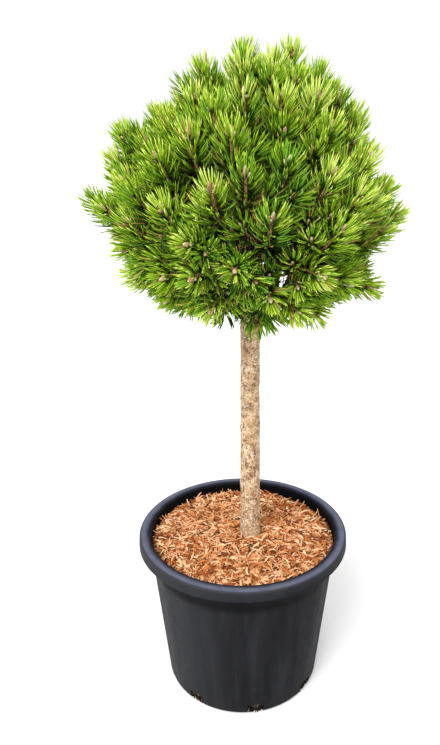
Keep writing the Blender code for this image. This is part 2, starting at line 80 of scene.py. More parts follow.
TRUNK_FOOT = Vector((0.0146, 0.012, MULCH_TOP - 0.018 + 0.0003))
TRUNK_TOP = Vector((0.012, 0.012, 0.88))
TRUNK_FOOT_RADIUS = 0.0191
TRUNK_NECK_RADIUS = 0.0168
TRUNK_NECK_HEIGHT = 0.72
TRUNK_TOP_RADIUS = 0.0085
TRUNK_CAP = 0.006
ROOT_FLARE = 0.0052
ROOT_FLARE_HEIGHT = 0.016

CROWN_CENTRE = Vector((0.011, 0.01, 0.926))
CROWN_WIDTH_RADIUS = 0.226
CROWN_HEIGHT_RADIUS = 0.206
# Tier, height of its whorl, elevation, stagger, reach, lift of its shoots and the azimuths of its masses.
TIERS = (
    ("crest", 0.86, 76, 4, 1.03, 0.62, (-90, 80)),
    ("upper", 0.827, 44, 4, 0.96, 0.58, (-70, -18, 40, 98, 158, -136)),
    ("middle", 0.787, 9, 4, 1.0, 0.5, (-90, -46, -2, 42, 88, 134, -178, -108, -138)),
    ("lower", 0.746, -36, 8, 1.05, 0.26, (-99, -67, -22, 23, 68, 99, 150, -160)),
)
WHORL_STAGGER = 0.013
WHORL_LEVELS = 3
# A mass's own vigour, raise in degrees and outgrowth of its leader, where they aren't 1, 0 and 1.
OWN_GROWTH = {
    "crest_1": (0.96, 8, 1.045),
    "crest_2": (0.97, 3, 1.06),
    "upper_1": (0.88, -5, 1),
    "middle_1": (1.03, -14, 1.09),
    "middle_5": (1, -20, 1.06),
    "middle_8": (1, 21, 1.07),
    "lower_1": (1, -1, 1.03),
    "lower_2": (0.97, 12, 1),
    "lower_3": (1, 3, 1),
    "lower_5": (1, -7, 1.05),
    "lower_6": (1, 19, 1.07),
}
BOUGH_SHARE = 0.48
BOUGH_ROOT_RADIUS = 0.0056
BOUGH_TIP_RADIUS = 0.0034
BOUGH_RISE = 0.3
BOUGH_LEAVING = 0.22
BOUGH_BEND = 0.55
PATH_STEPS = 100
HUB_SHARE = 0.6
SIDE_SHOOTS = 4
SHOOT_SPREAD_DEG = 15.5
SHOOT_JITTER_DEG = 3.0
SHOOT_TURN_JITTER = 0.25
SHOOT_SHORTFALL = 0.06
TWIG_BEND = 0.35
BRUSH_LENGTH = 0.048
SITE_SPACING = 0.008
SHOOT_GAP = 0.014

# The finer growth that only shows here.
TWIG_RADIUS = 0.0034
SHOOT_TIP_RADIUS = 0.0024
OLD_NEEDLES = 0.026
SIDE_SPRAYS = 3
SIDE_SPRAY_LENGTH = (0.036, 0.06)
SIDE_SPRAY_TURN_DEG = (30, 62)
SIDE_SPRAY_TRIES = 12
SIDE_SPRAY_REACH = 0.93
INNER_SPRAYS = 6
BARE_TWIGS = 5
INNER_SPRAY_LENGTH = (0.03, 0.052)
PAIRS_PER_METRE = 1130
OLD_PAIRS_PER_METRE = 540
NEEDLE_LENGTH = 0.0425
NEEDLE_HALF_WIDTH = 0.00145
NEEDLE_RINGS = (0.36, 0.78)
NEEDLE_RING_WIDTHS = (1.0, 0.8)
PAIR_SPLAY_DEG = 3.6
NEEDLE_CURL_DEG = 42
NEEDLE_BENDS = (0.64, 0.75)

# A thin place low on the +X side, where the far side shows through between two sprays.
THIN_PLACE = (Vector((0.052, -0.26, 0.846)), Vector((0.084, 0.26, 0.742)))
THIN_PLACE_RADIUS = 0.0088
THIN_PLACE_CROSSERS = 0.05

# How far needles lean from the stem, and their share of the full length, by distance back from the bud.
LEAN_BACK = (0.003, 0.01, 0.024, 0.05, 0.095)
LEAN_DEG = (28, 43, 57, 69, 80)
LENGTH_BACK = (0, 0.012, 0.03, 0.095)
LENGTH_SHARES = (0.86, 0.97, 1.0, 0.93)
NEEDLE_LIFT = 0.24
AGEING_LENGTH = 0.055

# Needled length that is fresh, vigour and light of the shoots, of the finer side stems, of the shaded
# stems on the boughs and of the bare twigs there.
SHOOT_FRESH = 0.055
# The light of a stem sets how light its needles are painted; side stems and stems on the boughs get darker
# tints as painted shade inside the crown.
SIDE_FRESH, SIDE_VIGOUR, SIDE_SHADE, SIDE_NEEDLED = 0.028, 0.84, 0.22, (0.03, 0.042)
INNER_FRESH, INNER_VIGOUR, INNER_LIGHT, INNER_NEEDLED = 0.012, 0.8, 0.2, 0.03
BARE_VIGOUR = 0.7
BUD_LEAST_LIGHT = 0.25

CAMERA_PLACE = (0, -1.102, 1.016)
CAMERA_DOWN_DEG = 19.39
CAMERA_LENS = 31.8
CAMERA_SHIFT = -0.0306

# Small things in and on the pot and the trunk.
POT_FLUTES = 20
DRAIN_ROOTS = 6
DRAIN_CRUMBS = 92
LOOSE_CHIPS = 5400
SUNK_CHIPS = 1700
FLAKE_SHARE = 0.1
EDGE_CHIPS = 210
OLD_WHORLS = (0.405, 0.518, 0.633, 0.705)
WHORL_SCARS = 4
BARK_PEGS = 520


# ---- materials


class Graph:
    """A material whose colour, roughness and bump come from nodes in the plant's own metres."""

    def __init__(self, name, roughness=0.6, specular=0.5):
        self.material = bpy.data.materials.new(name)
        self.material.use_nodes = True
        self.tree = self.material.node_tree
        self.shader = self.tree.nodes["Principled BSDF"]
        self.shader.inputs["Roughness"].default_value = roughness
        self.shader.inputs["Specular IOR Level"].default_value = specular
        self.place = self.node("TexCoord").outputs["Object"]

    def node(self, kind, inputs=(), **settings):
        made = self.tree.nodes.new("ShaderNode" + kind)
        for name, value in settings.items():
            setattr(made, name, value)
        for socket, value in dict(inputs).items():
            self.feed(made.inputs[socket], value)
        return made

    def feed(self, socket, value):
        if isinstance(value, bpy.types.NodeSocket):
            self.tree.links.new(value, socket)
        else:
            socket.default_value = value

    def scaled(self, x, y, z):
        inputs = {"Vector": self.place, "Scale": (x, y, z)}
        return self.node("Mapping", inputs).outputs["Vector"]

    def noise(self, scale, detail=4.0, roughness=0.55, at=None, distortion=0.0):
        inputs = {"Scale": scale, "Detail": detail, "Roughness": roughness, "Distortion": distortion}
        inputs["Vector"] = at or self.place
        return self.node("TexNoise", inputs).outputs["Fac"]

    def cells(self, scale, output="Distance", at=None, feature="F1"):
        inputs = {"Scale": scale, "Vector": at or self.place}
        return self.node("TexVoronoi", inputs, feature=feature).outputs[output]

    def level(self, value, low, high, start=0.0, end=1.0):
        inputs = {"Value": value, "From Min": low, "From Max": high, "To Min": start, "To Max": end}
        return self.node("MapRange", inputs).outputs["Result"]

    def maths(self, operation, first, second=0.0):
        return self.node("Math", {0: first, 1: second}, operation=operation).outputs[0]

    def times(self, first, second):
        return self.maths("MULTIPLY", first, second)

    def weighted(self, *terms):
        """The sum of pairs of a value and its weight."""
        total = None
        for value, weight in terms:
            part = value if weight == 1 else self.times(value, weight)
            total = part if total is None else self.maths("ADD", total, part)
        return total

    def mix(self, share, first, second):
        inputs = {"Fac": share, "Color1": first, "Color2": second}
        return self.node("MixRGB", inputs).outputs["Color"]

    def coat(self, colour, share, *paint):
        """The colour with a share of a plain one laid over it."""
        return self.mix(share, colour, (*paint, 1))

    def ramp(self, value, *stops):
        made = self.node("ValToRGB", {"Fac": value})
        points = made.color_ramp.elements
        while len(points) < len(stops):
            points.new(0.5)
        for point, (position, colour) in zip(points, stops):
            point.position = position
            point.color = (*colour, 1)
        return made.outputs["Color"]

    def parts_of_place(self):
        return self.node("SeparateXYZ", {"Vector": self.place}).outputs

    def finish(self, colour, roughness=None, height=None, strength=0.0, depth=0.0):
        self.feed(self.shader.inputs["Base Color"], colour)
        if height is not None:
            self.feed(self.shader.inputs["Roughness"], roughness)
            bump = self.node("Bump", {"Height": height, "Strength": strength, "Distance": depth})
            self.feed(self.shader.inputs["Normal"], bump.outputs["Normal"])
        return self.material


def plain(name, colour, roughness, specular=0.5):
    """A material of one colour, one of the several that a piece deals out to its parts."""
    return Graph(name, roughness, specular).finish((*colour, 1))


def pot_plastic():
    """Black nursery plastic: dusty streaks down the wall, a chalky lip, scuffs and fine pitting, with
    painted light: a highlight on the lip's top, shade on its outer rounding, a lighter side towards the key
    light and a shadow under the lip.
    """
    graph = Graph("pot_plastic_worn", specular=0.04)
    rim, bulge = POT_LIP_RADIUS, POT_SHOULDER_RADIUS
    x, y, height = graph.parts_of_place()
    radius = graph.maths("POWER", graph.weighted((graph.times(x, x), 1), (graph.times(y, y), 1)), 0.5)
    streaks = graph.noise(46, 5, 0.6, at=graph.scaled(1, 1, 0.05))
    broad = graph.noise(15, 3, 0.5, at=graph.scaled(1, 1, 0.2))
    dust = graph.noise(70, 8, 0.7)
    speck = graph.noise(900, 2, 0.5)
    wall = graph.ramp(
        streaks,
        (0.34, (0.005, 0.0052, 0.0062)),
        (0.52, (0.0085, 0.0088, 0.0104)),
        (0.7, (0.016, 0.0165, 0.0192)),
    )
    wall = graph.coat(wall, graph.level(broad, 0.5, 0.72, 0, 0.5), 0.021, 0.0215, 0.025)
    wall = graph.coat(wall, graph.level(dust, 0.58, 0.8, 0, 0.35), 0.032, 0.032, 0.033)
    # Painted light: the wall is painted lighter on its -X side and towards the front, where the key light
    # falls.
    painted_lit_side = graph.level(graph.weighted((x, 0.85), (y, 0.3)), -0.045, -0.165, 0, 0.85)
    wall = graph.coat(wall, painted_lit_side, 0.03, 0.0305, 0.0345)
    # The lip's bluish grey is partly worn plastic and partly painted sky reflection.
    lip = graph.ramp(
        graph.noise(38, 5, 0.6),
        (0.34, (0.032, 0.036, 0.062)),
        (0.56, (0.05, 0.055, 0.088)),
        (0.74, (0.072, 0.076, 0.112)),
    )
    # Painted highlight: a pale bluish band on the flat top of the lip near its outer edge, broken up by
    # noise.
    crest = graph.level(radius, rim - 0.015, rim - 0.0105)
    crest = graph.times(crest, graph.level(radius, rim - 0.0015, rim - 0.0048))
    crest = graph.times(crest, graph.level(graph.noise(55, 6, 0.65), 0.32, 0.62, 0.55, 1))
    lip = graph.coat(lip, crest, 0.112, 0.117, 0.165)
    # Painted shade: the lip's outer rounding is painted darker, as it turns away from the light.
    edge = graph.level(radius, rim - 0.0048, rim - 0.0022)
    lip = graph.coat(lip, edge, 0.036, 0.036, 0.042)
    on_lip = graph.level(height, POT_HEIGHT - 0.0062, POT_HEIGHT - 0.0016)
    colour = graph.mix(on_lip, wall, lip)
    lip_foot = POT_HEIGHT - POT_LIP_DEPTH
    skirt = graph.level(height, lip_foot - 0.001, lip_foot + 0.012)
    skirt = graph.times(skirt, graph.level(dust, 0.35, 0.75, 0.35, 0.8))
    skirt = graph.times(skirt, graph.maths("SUBTRACT", 1, on_lip))
    skirt = graph.times(skirt, graph.level(radius, bulge, bulge + 0.01))
    colour = graph.coat(colour, skirt, 0.026, 0.0265, 0.031)
    # Painted shadow: a dark band on the wall just under the lip, where the lip casts its shadow.
    on_wall = graph.level(radius, bulge + 0.004, bulge + 0.001)
    under = graph.times(graph.level(height, lip_foot - 0.0485, lip_foot - 0.0335, 0, 0.85), on_wall)
    colour = graph.coat(colour, under, 0.0025, 0.0026, 0.003)
    soil = graph.times(graph.level(height, 0.04, 0.0, 0, 0.45), graph.level(dust, 0.46, 0.66))
    colour = graph.coat(colour, soil, 0.036, 0.029, 0.022)
    rough = graph.level(dust, 0.3, 0.75, 0.44, 0.66)
    return graph.finish(colour, rough, graph.weighted((speck, 0.35), (dust, 0.6)), 0.35, 0.0006)


def growing_medium():
    """Dark potting soil with pale roots on the outside of the ball."""
    graph = Graph("growing_medium_moist", 0.95)
    crumbs = graph.cells(260)
    grain = graph.noise(420, 6, 0.7)
    roots = graph.cells(95, feature="DISTANCE_TO_EDGE", at=graph.scaled(1, 1, 0.45))
    colour = graph.ramp(
        grain,
        (0.32, (0.006, 0.004, 0.003)),
        (0.55, (0.018, 0.012, 0.008)),
        (0.75, (0.05, 0.036, 0.023)),
    )
    colour = graph.coat(colour, graph.level(roots, 0.04, 0.012, 0, 0.5), 0.2, 0.15, 0.1)
    height = graph.maths("SUBTRACT", grain, graph.times(crumbs, 0.8))
    return graph.finish(colour, graph.level(grain, 0.3, 0.7, 0.98, 0.82), height, 0.9, 0.002)


def mulch_bed():
    """What shows in the gaps between the chips: fibres and dust of the same wood."""
    graph = Graph("wood_chip_fines", 0.9)
    fibre = graph.noise(230, 6, 0.65, distortion=1.5)
    colour = graph.ramp(
        fibre,
        (0.34, (0.11, 0.032, 0.007)),
        (0.5, (0.28, 0.09, 0.02)),
        (0.68, (0.52, 0.23, 0.08)),
    )
    return graph.finish(colour, graph.level(fibre, 0.3, 0.7, 0.95, 0.8), fibre, 0.9, 0.003)


def trunk_bark():
    """Thin pine bark: tan and rosy flakes, cream blotches, grey-green bloom, small dark pits."""
    graph = Graph("trunk_bark_flaked", 0.85, 0.25)
    height = graph.parts_of_place()[2]
    patch = graph.noise(62, 4, 0.6)
    zone = graph.noise(26, 3, 0.5)
    grain = graph.noise(430, 6, 0.7)
    flake = graph.cells(300, "Color", at=graph.scaled(1, 1, 1.3))
    flake = graph.node("SeparateColor", {"Color": flake}).outputs[0]
    scale = graph.noise(185, 5, 0.65)
    colour = graph.ramp(
        graph.weighted((patch, 0.66), (flake, 0.13), (scale, 0.36), (grain, 0.18)),
        (0.54, (0.14, 0.068, 0.03)),
        (0.62, (0.32, 0.18, 0.084)),
        (0.69, (0.48, 0.305, 0.17)),
        (0.79, (0.62, 0.45, 0.29)),
    )
    bloom = graph.level(graph.noise(34, 6, 0.7), 0.48, 0.62, 0, 0.55)
    bloom = graph.times(bloom, graph.level(height, 0.36, 0.64, 0.35, 1))
    colour = graph.coat(colour, bloom, 0.33, 0.27, 0.105)
    moss = graph.level(graph.noise(230, 4, 0.6), 0.58, 0.66, 0, 0.55)
    colour = graph.coat(colour, moss, 0.235, 0.225, 0.085)
    blotch = graph.level(graph.noise(250, 5, 0.65), 0.51, 0.6, 0, 0.85)
    blotch = graph.times(blotch, graph.level(zone, 0.42, 0.58, 0.3, 1))
    colour = graph.coat(colour, blotch, 0.8, 0.69, 0.53)
    ruddy = graph.level(graph.noise(240, 3, 0.5), 0.6, 0.68, 0, 0.55)
    colour = graph.coat(colour, ruddy, 0.33, 0.14, 0.07)
    pits = graph.level(graph.cells(135, at=graph.scaled(1, 1, 0.8)), 0.21, 0.13, 0, 0.85)
    colour = graph.coat(colour, pits, 0.075, 0.045, 0.026)
    relief = graph.weighted((flake, 0.35), (grain, 1), (blotch, 0.5))
    return graph.finish(colour, graph.level(grain, 0.35, 0.7, 0.92, 0.72), relief, 0.6, 0.0009)


def bough_bark(name, dark, middle, light):
    """Scaly brown bark of boughs and twigs, with the pegs that old needles leave."""
    graph = Graph(name, 0.85)
    scale = graph.cells(420, at=graph.scaled(1, 1, 0.8))
    grain = graph.noise(700, 5, 0.65)
    patch = graph.noise(55, 4, 0.6)
    tone = graph.weighted((grain, 0.6), (patch, 0.4))
    colour = graph.ramp(tone, (0.43, dark), (0.5, middle), (0.58, light))
    colour = graph.coat(colour, graph.level(scale, 0.55, 0.85, 0, 0.6), *dark)
    height = graph.maths("SUBTRACT", grain, scale)
    return graph.finish(colour, graph.level(grain, 0.3, 0.7, 0.92, 0.75), height, 0.8, 0.0012)


def palette(kind, tints, roughness, specular):
    """One plain material for each named tint, in the order that a piece's numbers mean."""
    return [plain(f"{kind}_{name}", colour, roughness, specular) for name, colour, *_ in tints]


# ---- meshes


class Shape:
    """Vertices and faces gathered from many parts, then made into one piece."""

    def __init__(self):
        self.vertices, self.corners, self.sizes, self.tints = [], [], [], []
        self.count = 0

    def add(self, vertices, *faces_and_tints):
        """Adds vertices, and for each pair an array of faces over them and its material numbers."""
        vertices = np.asarray(vertices, float).reshape(-1, 3)
        for faces, tints in faces_and_tints:
            faces = np.asarray(faces)
            self.corners.append((faces + self.count).ravel())
            self.sizes.append(np.full(len(faces), faces.shape[1]))
            self.tints.append(np.broadcast_to(tints, len(faces)))
        self.vertices.append(vertices)
        self.count += len(vertices)

    def piece(self, name, materials, replaced=(), smooth=True):
        sizes = np.concatenate(self.sizes)
        mesh = bpy.data.meshes.new(name)
        mesh.vertices.add(self.count)
        mesh.vertices.foreach_set("co", np.concatenate(self.vertices).ravel())
        mesh.loops.add(int(sizes.sum()))
        mesh.loops.foreach_set("vertex_index", np.concatenate(self.corners).astype(np.int32))
        mesh.polygons.add(len(sizes))
        mesh.polygons.foreach_set("loop_start", (np.cumsum(sizes) - sizes).astype(np.int32))
        mesh.polygons.foreach_set("material_index", np.concatenate(self.tints).astype(np.int32))
        mesh.polygons.foreach_set("use_smooth", np.full(len(sizes), smooth))
        mesh.update(calc_edges=True)
        mesh.validate()
        for finish in materials:
            mesh.materials.append(finish)
        made = placed(name, mesh)
        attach(made, "root")
        if replaced:
            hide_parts(*replaced)
        return made


def circle(sides):
    """Turns of equal steps, all the way round."""
    return tau * np.arange(sides) / sides


def polar(radius, turn):
    return radius * cos(turn), radius * sin(turn)


def fan(first, sides, tip, turned=False):
    """Triangles from a ring of vertices to one vertex."""
    side = np.arange(sides)
    edge = [first + side, first + (side + 1) % sides]
    return np.stack([*(edge[::-1] if turned else edge), 0 * side + tip], 1)


def end_caps(sides, last):
    """The faces that close a tube, whose last ring starts at a vertex."""
    return [list(range(sides))[::-1], list(range(last, last + sides))]


def wrapped_faces(rings, sides):
    """Quads between rings of vertices, all the way round."""
    ring, side = np.meshgrid(np.arange(rings - 1), np.arange(sides), indexing="ij")
    after = (side + 1) % sides
    low, high = ring * sides, (ring + 1) * sides
    return np.stack([low + side, low + after, high + after, high + side], -1).reshape(-1, 4)


def tube(points, radii, sides, roll=0.0, ruffle=None):
    """Vertices of rings square to a line. The ruffle is a share of the radius for each vertex."""
    points = np.asarray(points, float)
    along = np.gradient(points, axis=0)
    along /= np.linalg.norm(along, axis=1, keepdims=True)
    side = np.cross(along[0], (0.3, 0.2, 0.9))
    turns = roll + circle(sides)
    rings = []
    for i, point in enumerate(points):
        side = side - along[i] * side.dot(along[i])
        side /= np.linalg.norm(side)
        across = np.cross(along[i], side)
        spokes = np.outer(np.cos(turns), side) + np.outer(np.sin(turns), across)
        swell = 1 if ruffle is None else (1 + ruffle[i])[:, None]
        rings.append(point + spokes * radii[i] * swell)
    return np.array(rings)


def add_tube(shape, points, radii, sides, roll=0.0, ruffle=None, tints=0):
    """A closed tube along a line."""
    rings = tube(points, radii, sides, roll, ruffle)
    caps = end_caps(sides, (len(rings) - 1) * sides)
    shape.add(rings, (wrapped_faces(len(rings), sides), tints), (caps, 0 if np.ndim(tints) else tints))


def bezier(start, first, second, end, count):
    found = []
    for i in range(count):
        t = i / (count - 1)
        s = 1 - t
        found.append(s**3 * start + 3 * s * s * t * first + 3 * s * t * t * second + t**3 * end)
    return found


def direction(azimuth_deg, elevation_deg):
    """Unit vector: azimuth from the front (-Y) towards +X, elevation above the horizon."""
    azimuth, elevation = radians(azimuth_deg), radians(elevation_deg)
    flat = cos(elevation)
    return Vector((flat * sin(azimuth), -flat * cos(azimuth), sin(elevation)))


def placed(name, data):
    made = bpy.data.objects.new(name, data)
    bpy.context.scene.collection.objects.link(made)
    return made


def bake(obj):
    """Replaces the object's mesh by what its modifiers make of it."""
    evaluated = obj.evaluated_get(bpy.context.evaluated_depsgraph_get())
    mesh = bpy.data.meshes.new_from_object(evaluated)
    obj.modifiers.clear()
    obj.data = mesh


# ---- pot


def pot_wall_radius(height):
    share = (height - POT_FOOT_ROUNDING) / (POT_HEIGHT - POT_LIP_DEPTH - POT_FOOT_ROUNDING)
    foot = POT_FOOT_RADIUS
    return foot + (POT_SHOULDER_RADIUS - POT_SHOULDER_STEP - foot) * share


def rounded(centre_radius, centre_height, size, start_deg, end_deg, count=5):
    """Points of an arc in the plane of radius and height."""
    turns = np.radians(np.linspace(start_deg, end_deg, count))
    return [(centre_radius + size * cos(a), centre_height + size * sin(a)) for a in turns]


def pot_profile():
    """The moulded wall's outline from the middle of the underside to the middle of the floor."""
    top, rim, bulge = POT_HEIGHT, POT_LIP_RADIUS, POT_SHOULDER_RADIUS
    lip_foot = top - POT_LIP_DEPTH
    collar = lip_foot - POT_SHOULDER_DEPTH
    foot = POT_FOOT_ROUNDING
    inner = rim - POT_LIP_WIDTH
    under = [(0, 0.0012), (0.06, 0.0012), (0.0612, 0.0003), (0.068, 0.0003), (0.0692, 0.0012)]
    under += [(POT_FOOT_RADIUS - 0.017, 0.0012), (POT_FOOT_RADIUS - 0.0155, 0.0)]
    wall = [(pot_wall_radius(z), z) for z in np.linspace(foot + 0.012, collar - 0.001, 22)]
    shoulder = [
        (pot_wall_radius(collar) + 0.0003, collar),
        (bulge - 0.0006, collar + 0.003),
        (bulge, collar + 0.0045),
        (bulge, lip_foot + 0.01),
        (bulge, top - POT_WALL),
        (rim - POT_WALL, top - POT_WALL - 0.001),
        (rim - POT_WALL, lip_foot + 0.0006),
        (rim - 0.0021, lip_foot),
        (rim - 0.0006, lip_foot),
        (rim + 0.0001, lip_foot + 0.0007),
        (rim - 0.0002, lip_foot + 0.006),
    ]
    edge = POT_LIP_ROUNDING
    lip = rounded(rim - 0.0008 - edge, top - 0.0004 - edge, edge, 0, 80, 7)
    lip += [(rim - 0.0085, top), (inner + 0.01, top - 0.0006)]
    lip += [(inner + 0.006, top - 0.001), (inner + 0.0034, top - 0.0012)]
    lip += rounded(inner + 0.003, top - 0.0042, 0.003, 90, 180, 5)
    inside = [
        (inner - 0.0004, lip_foot + 0.006),
        (pot_wall_radius(lip_foot) - POT_WALL, lip_foot),
        (pot_wall_radius(foot) - POT_WALL, foot),
        (pot_wall_radius(foot) - POT_WALL - 0.006, POT_WALL),
        (0, POT_WALL),
    ]
    corner = rounded(POT_FOOT_RADIUS - foot, foot, foot, -90, 0, 7)
    return under + corner + wall + shoulder + lip + inside


def drain_places():
    """Rotations from the front to each drain hole."""
    first = radians(DRAIN_HOLE_FIRST_DEG)
    turns = [first + tau * i / DRAIN_HOLES for i in range(DRAIN_HOLES)]
    return [Matrix.Rotation(turn, 3, "Z") for turn in turns]


def make_pot():
    """The wall with its faint flutes and moulding lines, cut by the drain holes."""
    sides = 240
    profile = pot_profile()
    turns = circle(sides)
    collar = POT_HEIGHT - POT_LIP_DEPTH - POT_SHOULDER_DEPTH
    rings = []
    for radius, height in profile:
        depth = 0.0
        if radius > POT_FOOT_RADIUS - 0.001 and height < collar:
            depth = 0.00045 * min(1, (collar - height) / 0.012, height / 0.012)
        flute = depth * (np.cos(POT_FLUTES * turns) - 0.25 * np.cos(3 * POT_FLUTES * turns))
        wobble = 0.0005 * np.sin(2 * turns + 0.7) * height / POT_HEIGHT
        across = radius + (flute + wobble if radius else 0)
        rings.append(np.stack([across * np.cos(turns), across * np.sin(turns), 0 * turns + height], 1))
    shape = Shape()
    body = np.concatenate(rings[1:-1])
    low = len(body)
    ends = [[0, 0, profile[0][1]], [0, 0, profile[-1][1]]]
    faces = wrapped_faces(len(rings) - 2, sides)
    under, floor = fan(0, sides, low, True), fan(low - sides, sides, low + 1)
    shape.add(np.concatenate([body, ends]), (faces, 0), (under, 0), (floor, 0))
    pot = shape.piece("pot_shell", [pot_plastic()], ["pot"])
    cutter = Shape()
    half, top, nick = DRAIN_HOLE_WIDTH / 2, DRAIN_HOLE_HEIGHT, 0.003
    outline = [(-half, top - nick), (-half + nick, top), (half - nick, top), (half, top - nick)]
    outline += [(half, -0.01), (-half, -0.01)]
    count = len(outline)
    for place in drain_places():
        corners = []
        for depth in (-POT_FOOT_RADIUS - 0.02, -POT_FOOT_RADIUS + DRAIN_HOLE_INSET):
            corners += [place @ Vector((x, depth, z)) for x, z in outline]
        cutter.add(corners, (wrapped_faces(2, count), 0), (end_caps(count, count), 0))
    knife = cutter.piece("drain_knife", [])
    cut = pot.modifiers.new("cut", "BOOLEAN")
    cut.operation = "DIFFERENCE"
    cut.solver = "EXACT"
    cut.object = knife
    bpy.context.view_layer.update()
    bake(pot)
    bpy.data.objects.remove(knife)
    pot.data.set_sharp_from_angle(angle=radians(38))
    return pot


def make_drain_roots():
    """Soil crumbs and pale root ends that show in the drain holes."""
    rng = random.Random(21)
    pick = rng.uniform
    shape = Shape()
    radius = pot_wall_radius(POT_FOOT_ROUNDING) - POT_WALL
    for place in drain_places():
        for _ in range(DRAIN_ROOTS):
            x = pick(-0.013, 0.013)
            low = Vector((x, -radius - pick(-0.001, 0.0012), pick(0.0012, 0.006)))
            high = Vector((x + pick(-0.008, 0.008), -radius + 0.001, pick(0.01, 0.0215)))
            high.x = max(-0.0138, min(0.0138, high.x))
            bend = (low + high) / 2 + Vector((pick(-0.004, 0.004), -pick(0, 0.0016), 0))
            line = [place @ p for p in bezier(low, bend, bend, high, 7)]
            thick = pick(0.00035, 0.0008)
            add_tube(shape, line, [thick] * 7, 6, tints=rng.choice((1, 1, 2)))
        for _ in range(DRAIN_CRUMBS):
            size = pick(0.0012, 0.003)
            spot = Vector((pick(-0.0138, 0.0138), -radius - pick(-0.005, 0.0004), 0))
            spot.z = pick(0.0008 + size, 0.0205)
            stem = Vector((pick(-1, 1), pick(-1, 1), pick(-1, 1))).normalized()
            steps = (-1, -0.6, 0.1, 0.7, 1)
            line = [place @ (spot + stem * size * s) for s in steps]
            radii = [size * w * pick(0.85, 1.1) for w in (0.25, 0.8, 1, 0.7, 0.2)]
            add_tube(shape, line, radii, 7, tints=0 if rng.random() < 0.82 else 3)
    finishes = [
        plain("crumb_dark", (0.006, 0.005, 0.004), 0.95, 0.05),
        plain("root_pale", (0.26, 0.2, 0.14), 0.8, 0.1),
        plain("root_brown", (0.06, 0.042, 0.028), 0.85, 0.1),
        plain("crumb_light", (0.03, 0.023, 0.017), 0.95, 0.05),
    ]
    shape.piece("drain_roots", finishes)


# ---- wood chips


def bed_height(x, y):
    """Height of the chips' general surface, which dips and swells a little."""
    swell = noise.noise(Vector((x * 14, y * 14, 3.1))) * 0.003
    ripple = noise.noise(Vector((x * 70, y * 70, 9.7))) * 0.0022
    return MULCH_TOP - 0.003 + swell + ripple


def make_mulch_bed():
    edge = pot_wall_radius(MULCH_TOP) - POT_WALL - 0.0006
    rings, sides = 46, 120
    turns = circle(sides)
    vertices = [(0, 0, bed_height(0, 0))]
    for ring in range(1, rings + 1):
        spots = [polar(edge * ring / rings, turn) for turn in turns]
        vertices += [(x, y, bed_height(x, y)) for x, y in spots]
    foot = MULCH_TOP - 0.017
    low = pot_wall_radius(foot) - POT_WALL - 0.0006
    vertices += [(*polar(low, turn), foot) for turn in turns]
    vertices.append((0, 0, foot))
    last = 1 + rings * sides
    top, base = fan(1, sides, 0), fan(last, sides, last + sides, True)
    shape = Shape()
    shape.add(vertices, (wrapped_faces(rings + 1, sides)[:, ::-1] + 1, 0), (top, 0), (base, 0))
    shape.piece("mulch_bed", [mulch_bed()], ["wood_chip_mulch"])


CHIP_TINTS = (
    ("cream", (0.84, 0.56, 0.32), 0.21),
    ("tan", (0.66, 0.33, 0.14), 0.22),
    ("orange", (0.5, 0.175, 0.05), 0.2),
    ("rust", (0.32, 0.084, 0.02), 0.15),
    ("pink", (0.7, 0.36, 0.2), 0.12),
    ("brown", (0.19, 0.055, 0.014), 0.07),
    ("dark", (0.08, 0.024, 0.006), 0.03),
)


def add_chip(shape, rng, tint, middle, heading, pitch, roll, length, width, thickness):
    """A split sliver: bent lengthwise, uneven in width, with broken ends."""
    pick = rng.uniform
    cuts = (-0.5, -0.18, 0.2, 0.5)
    widths = [pick(0.25, 0.75), pick(0.8, 1), pick(0.8, 1), pick(0.15, 0.7)]
    bow = pick(-0.1, 0.2) * length
    sway = pick(-0.15, 0.15) * length
    twist = pick(-0.5, 0.5)
    turn = Matrix.Rotation(heading, 3, "Z") @ Matrix.Rotation(pitch, 3, "Y") @ Matrix.Rotation(roll, 3, "X")
    corners = []
    for cut, wide in zip(cuts, widths):
        arch = 1 - 4 * cut * cut
        spin = Matrix.Rotation(twist * cut, 3, "X")
        shift = pick(-0.04, 0.04) * length if abs(cut) == 0.5 else 0
        for y, z in ((-1, -1), (1, -1), (1, 1), (-1, 1)):
            flat = spin @ Vector((0, y * width * wide / 2, z * thickness / 2))
            place = Vector((cut * length + shift * y, sway * arch, bow * arch)) + flat
            corners.append(middle + turn @ place)
    shape.add(corners, (wrapped_faces(4, 4), tint), (end_caps(4, 12), tint))


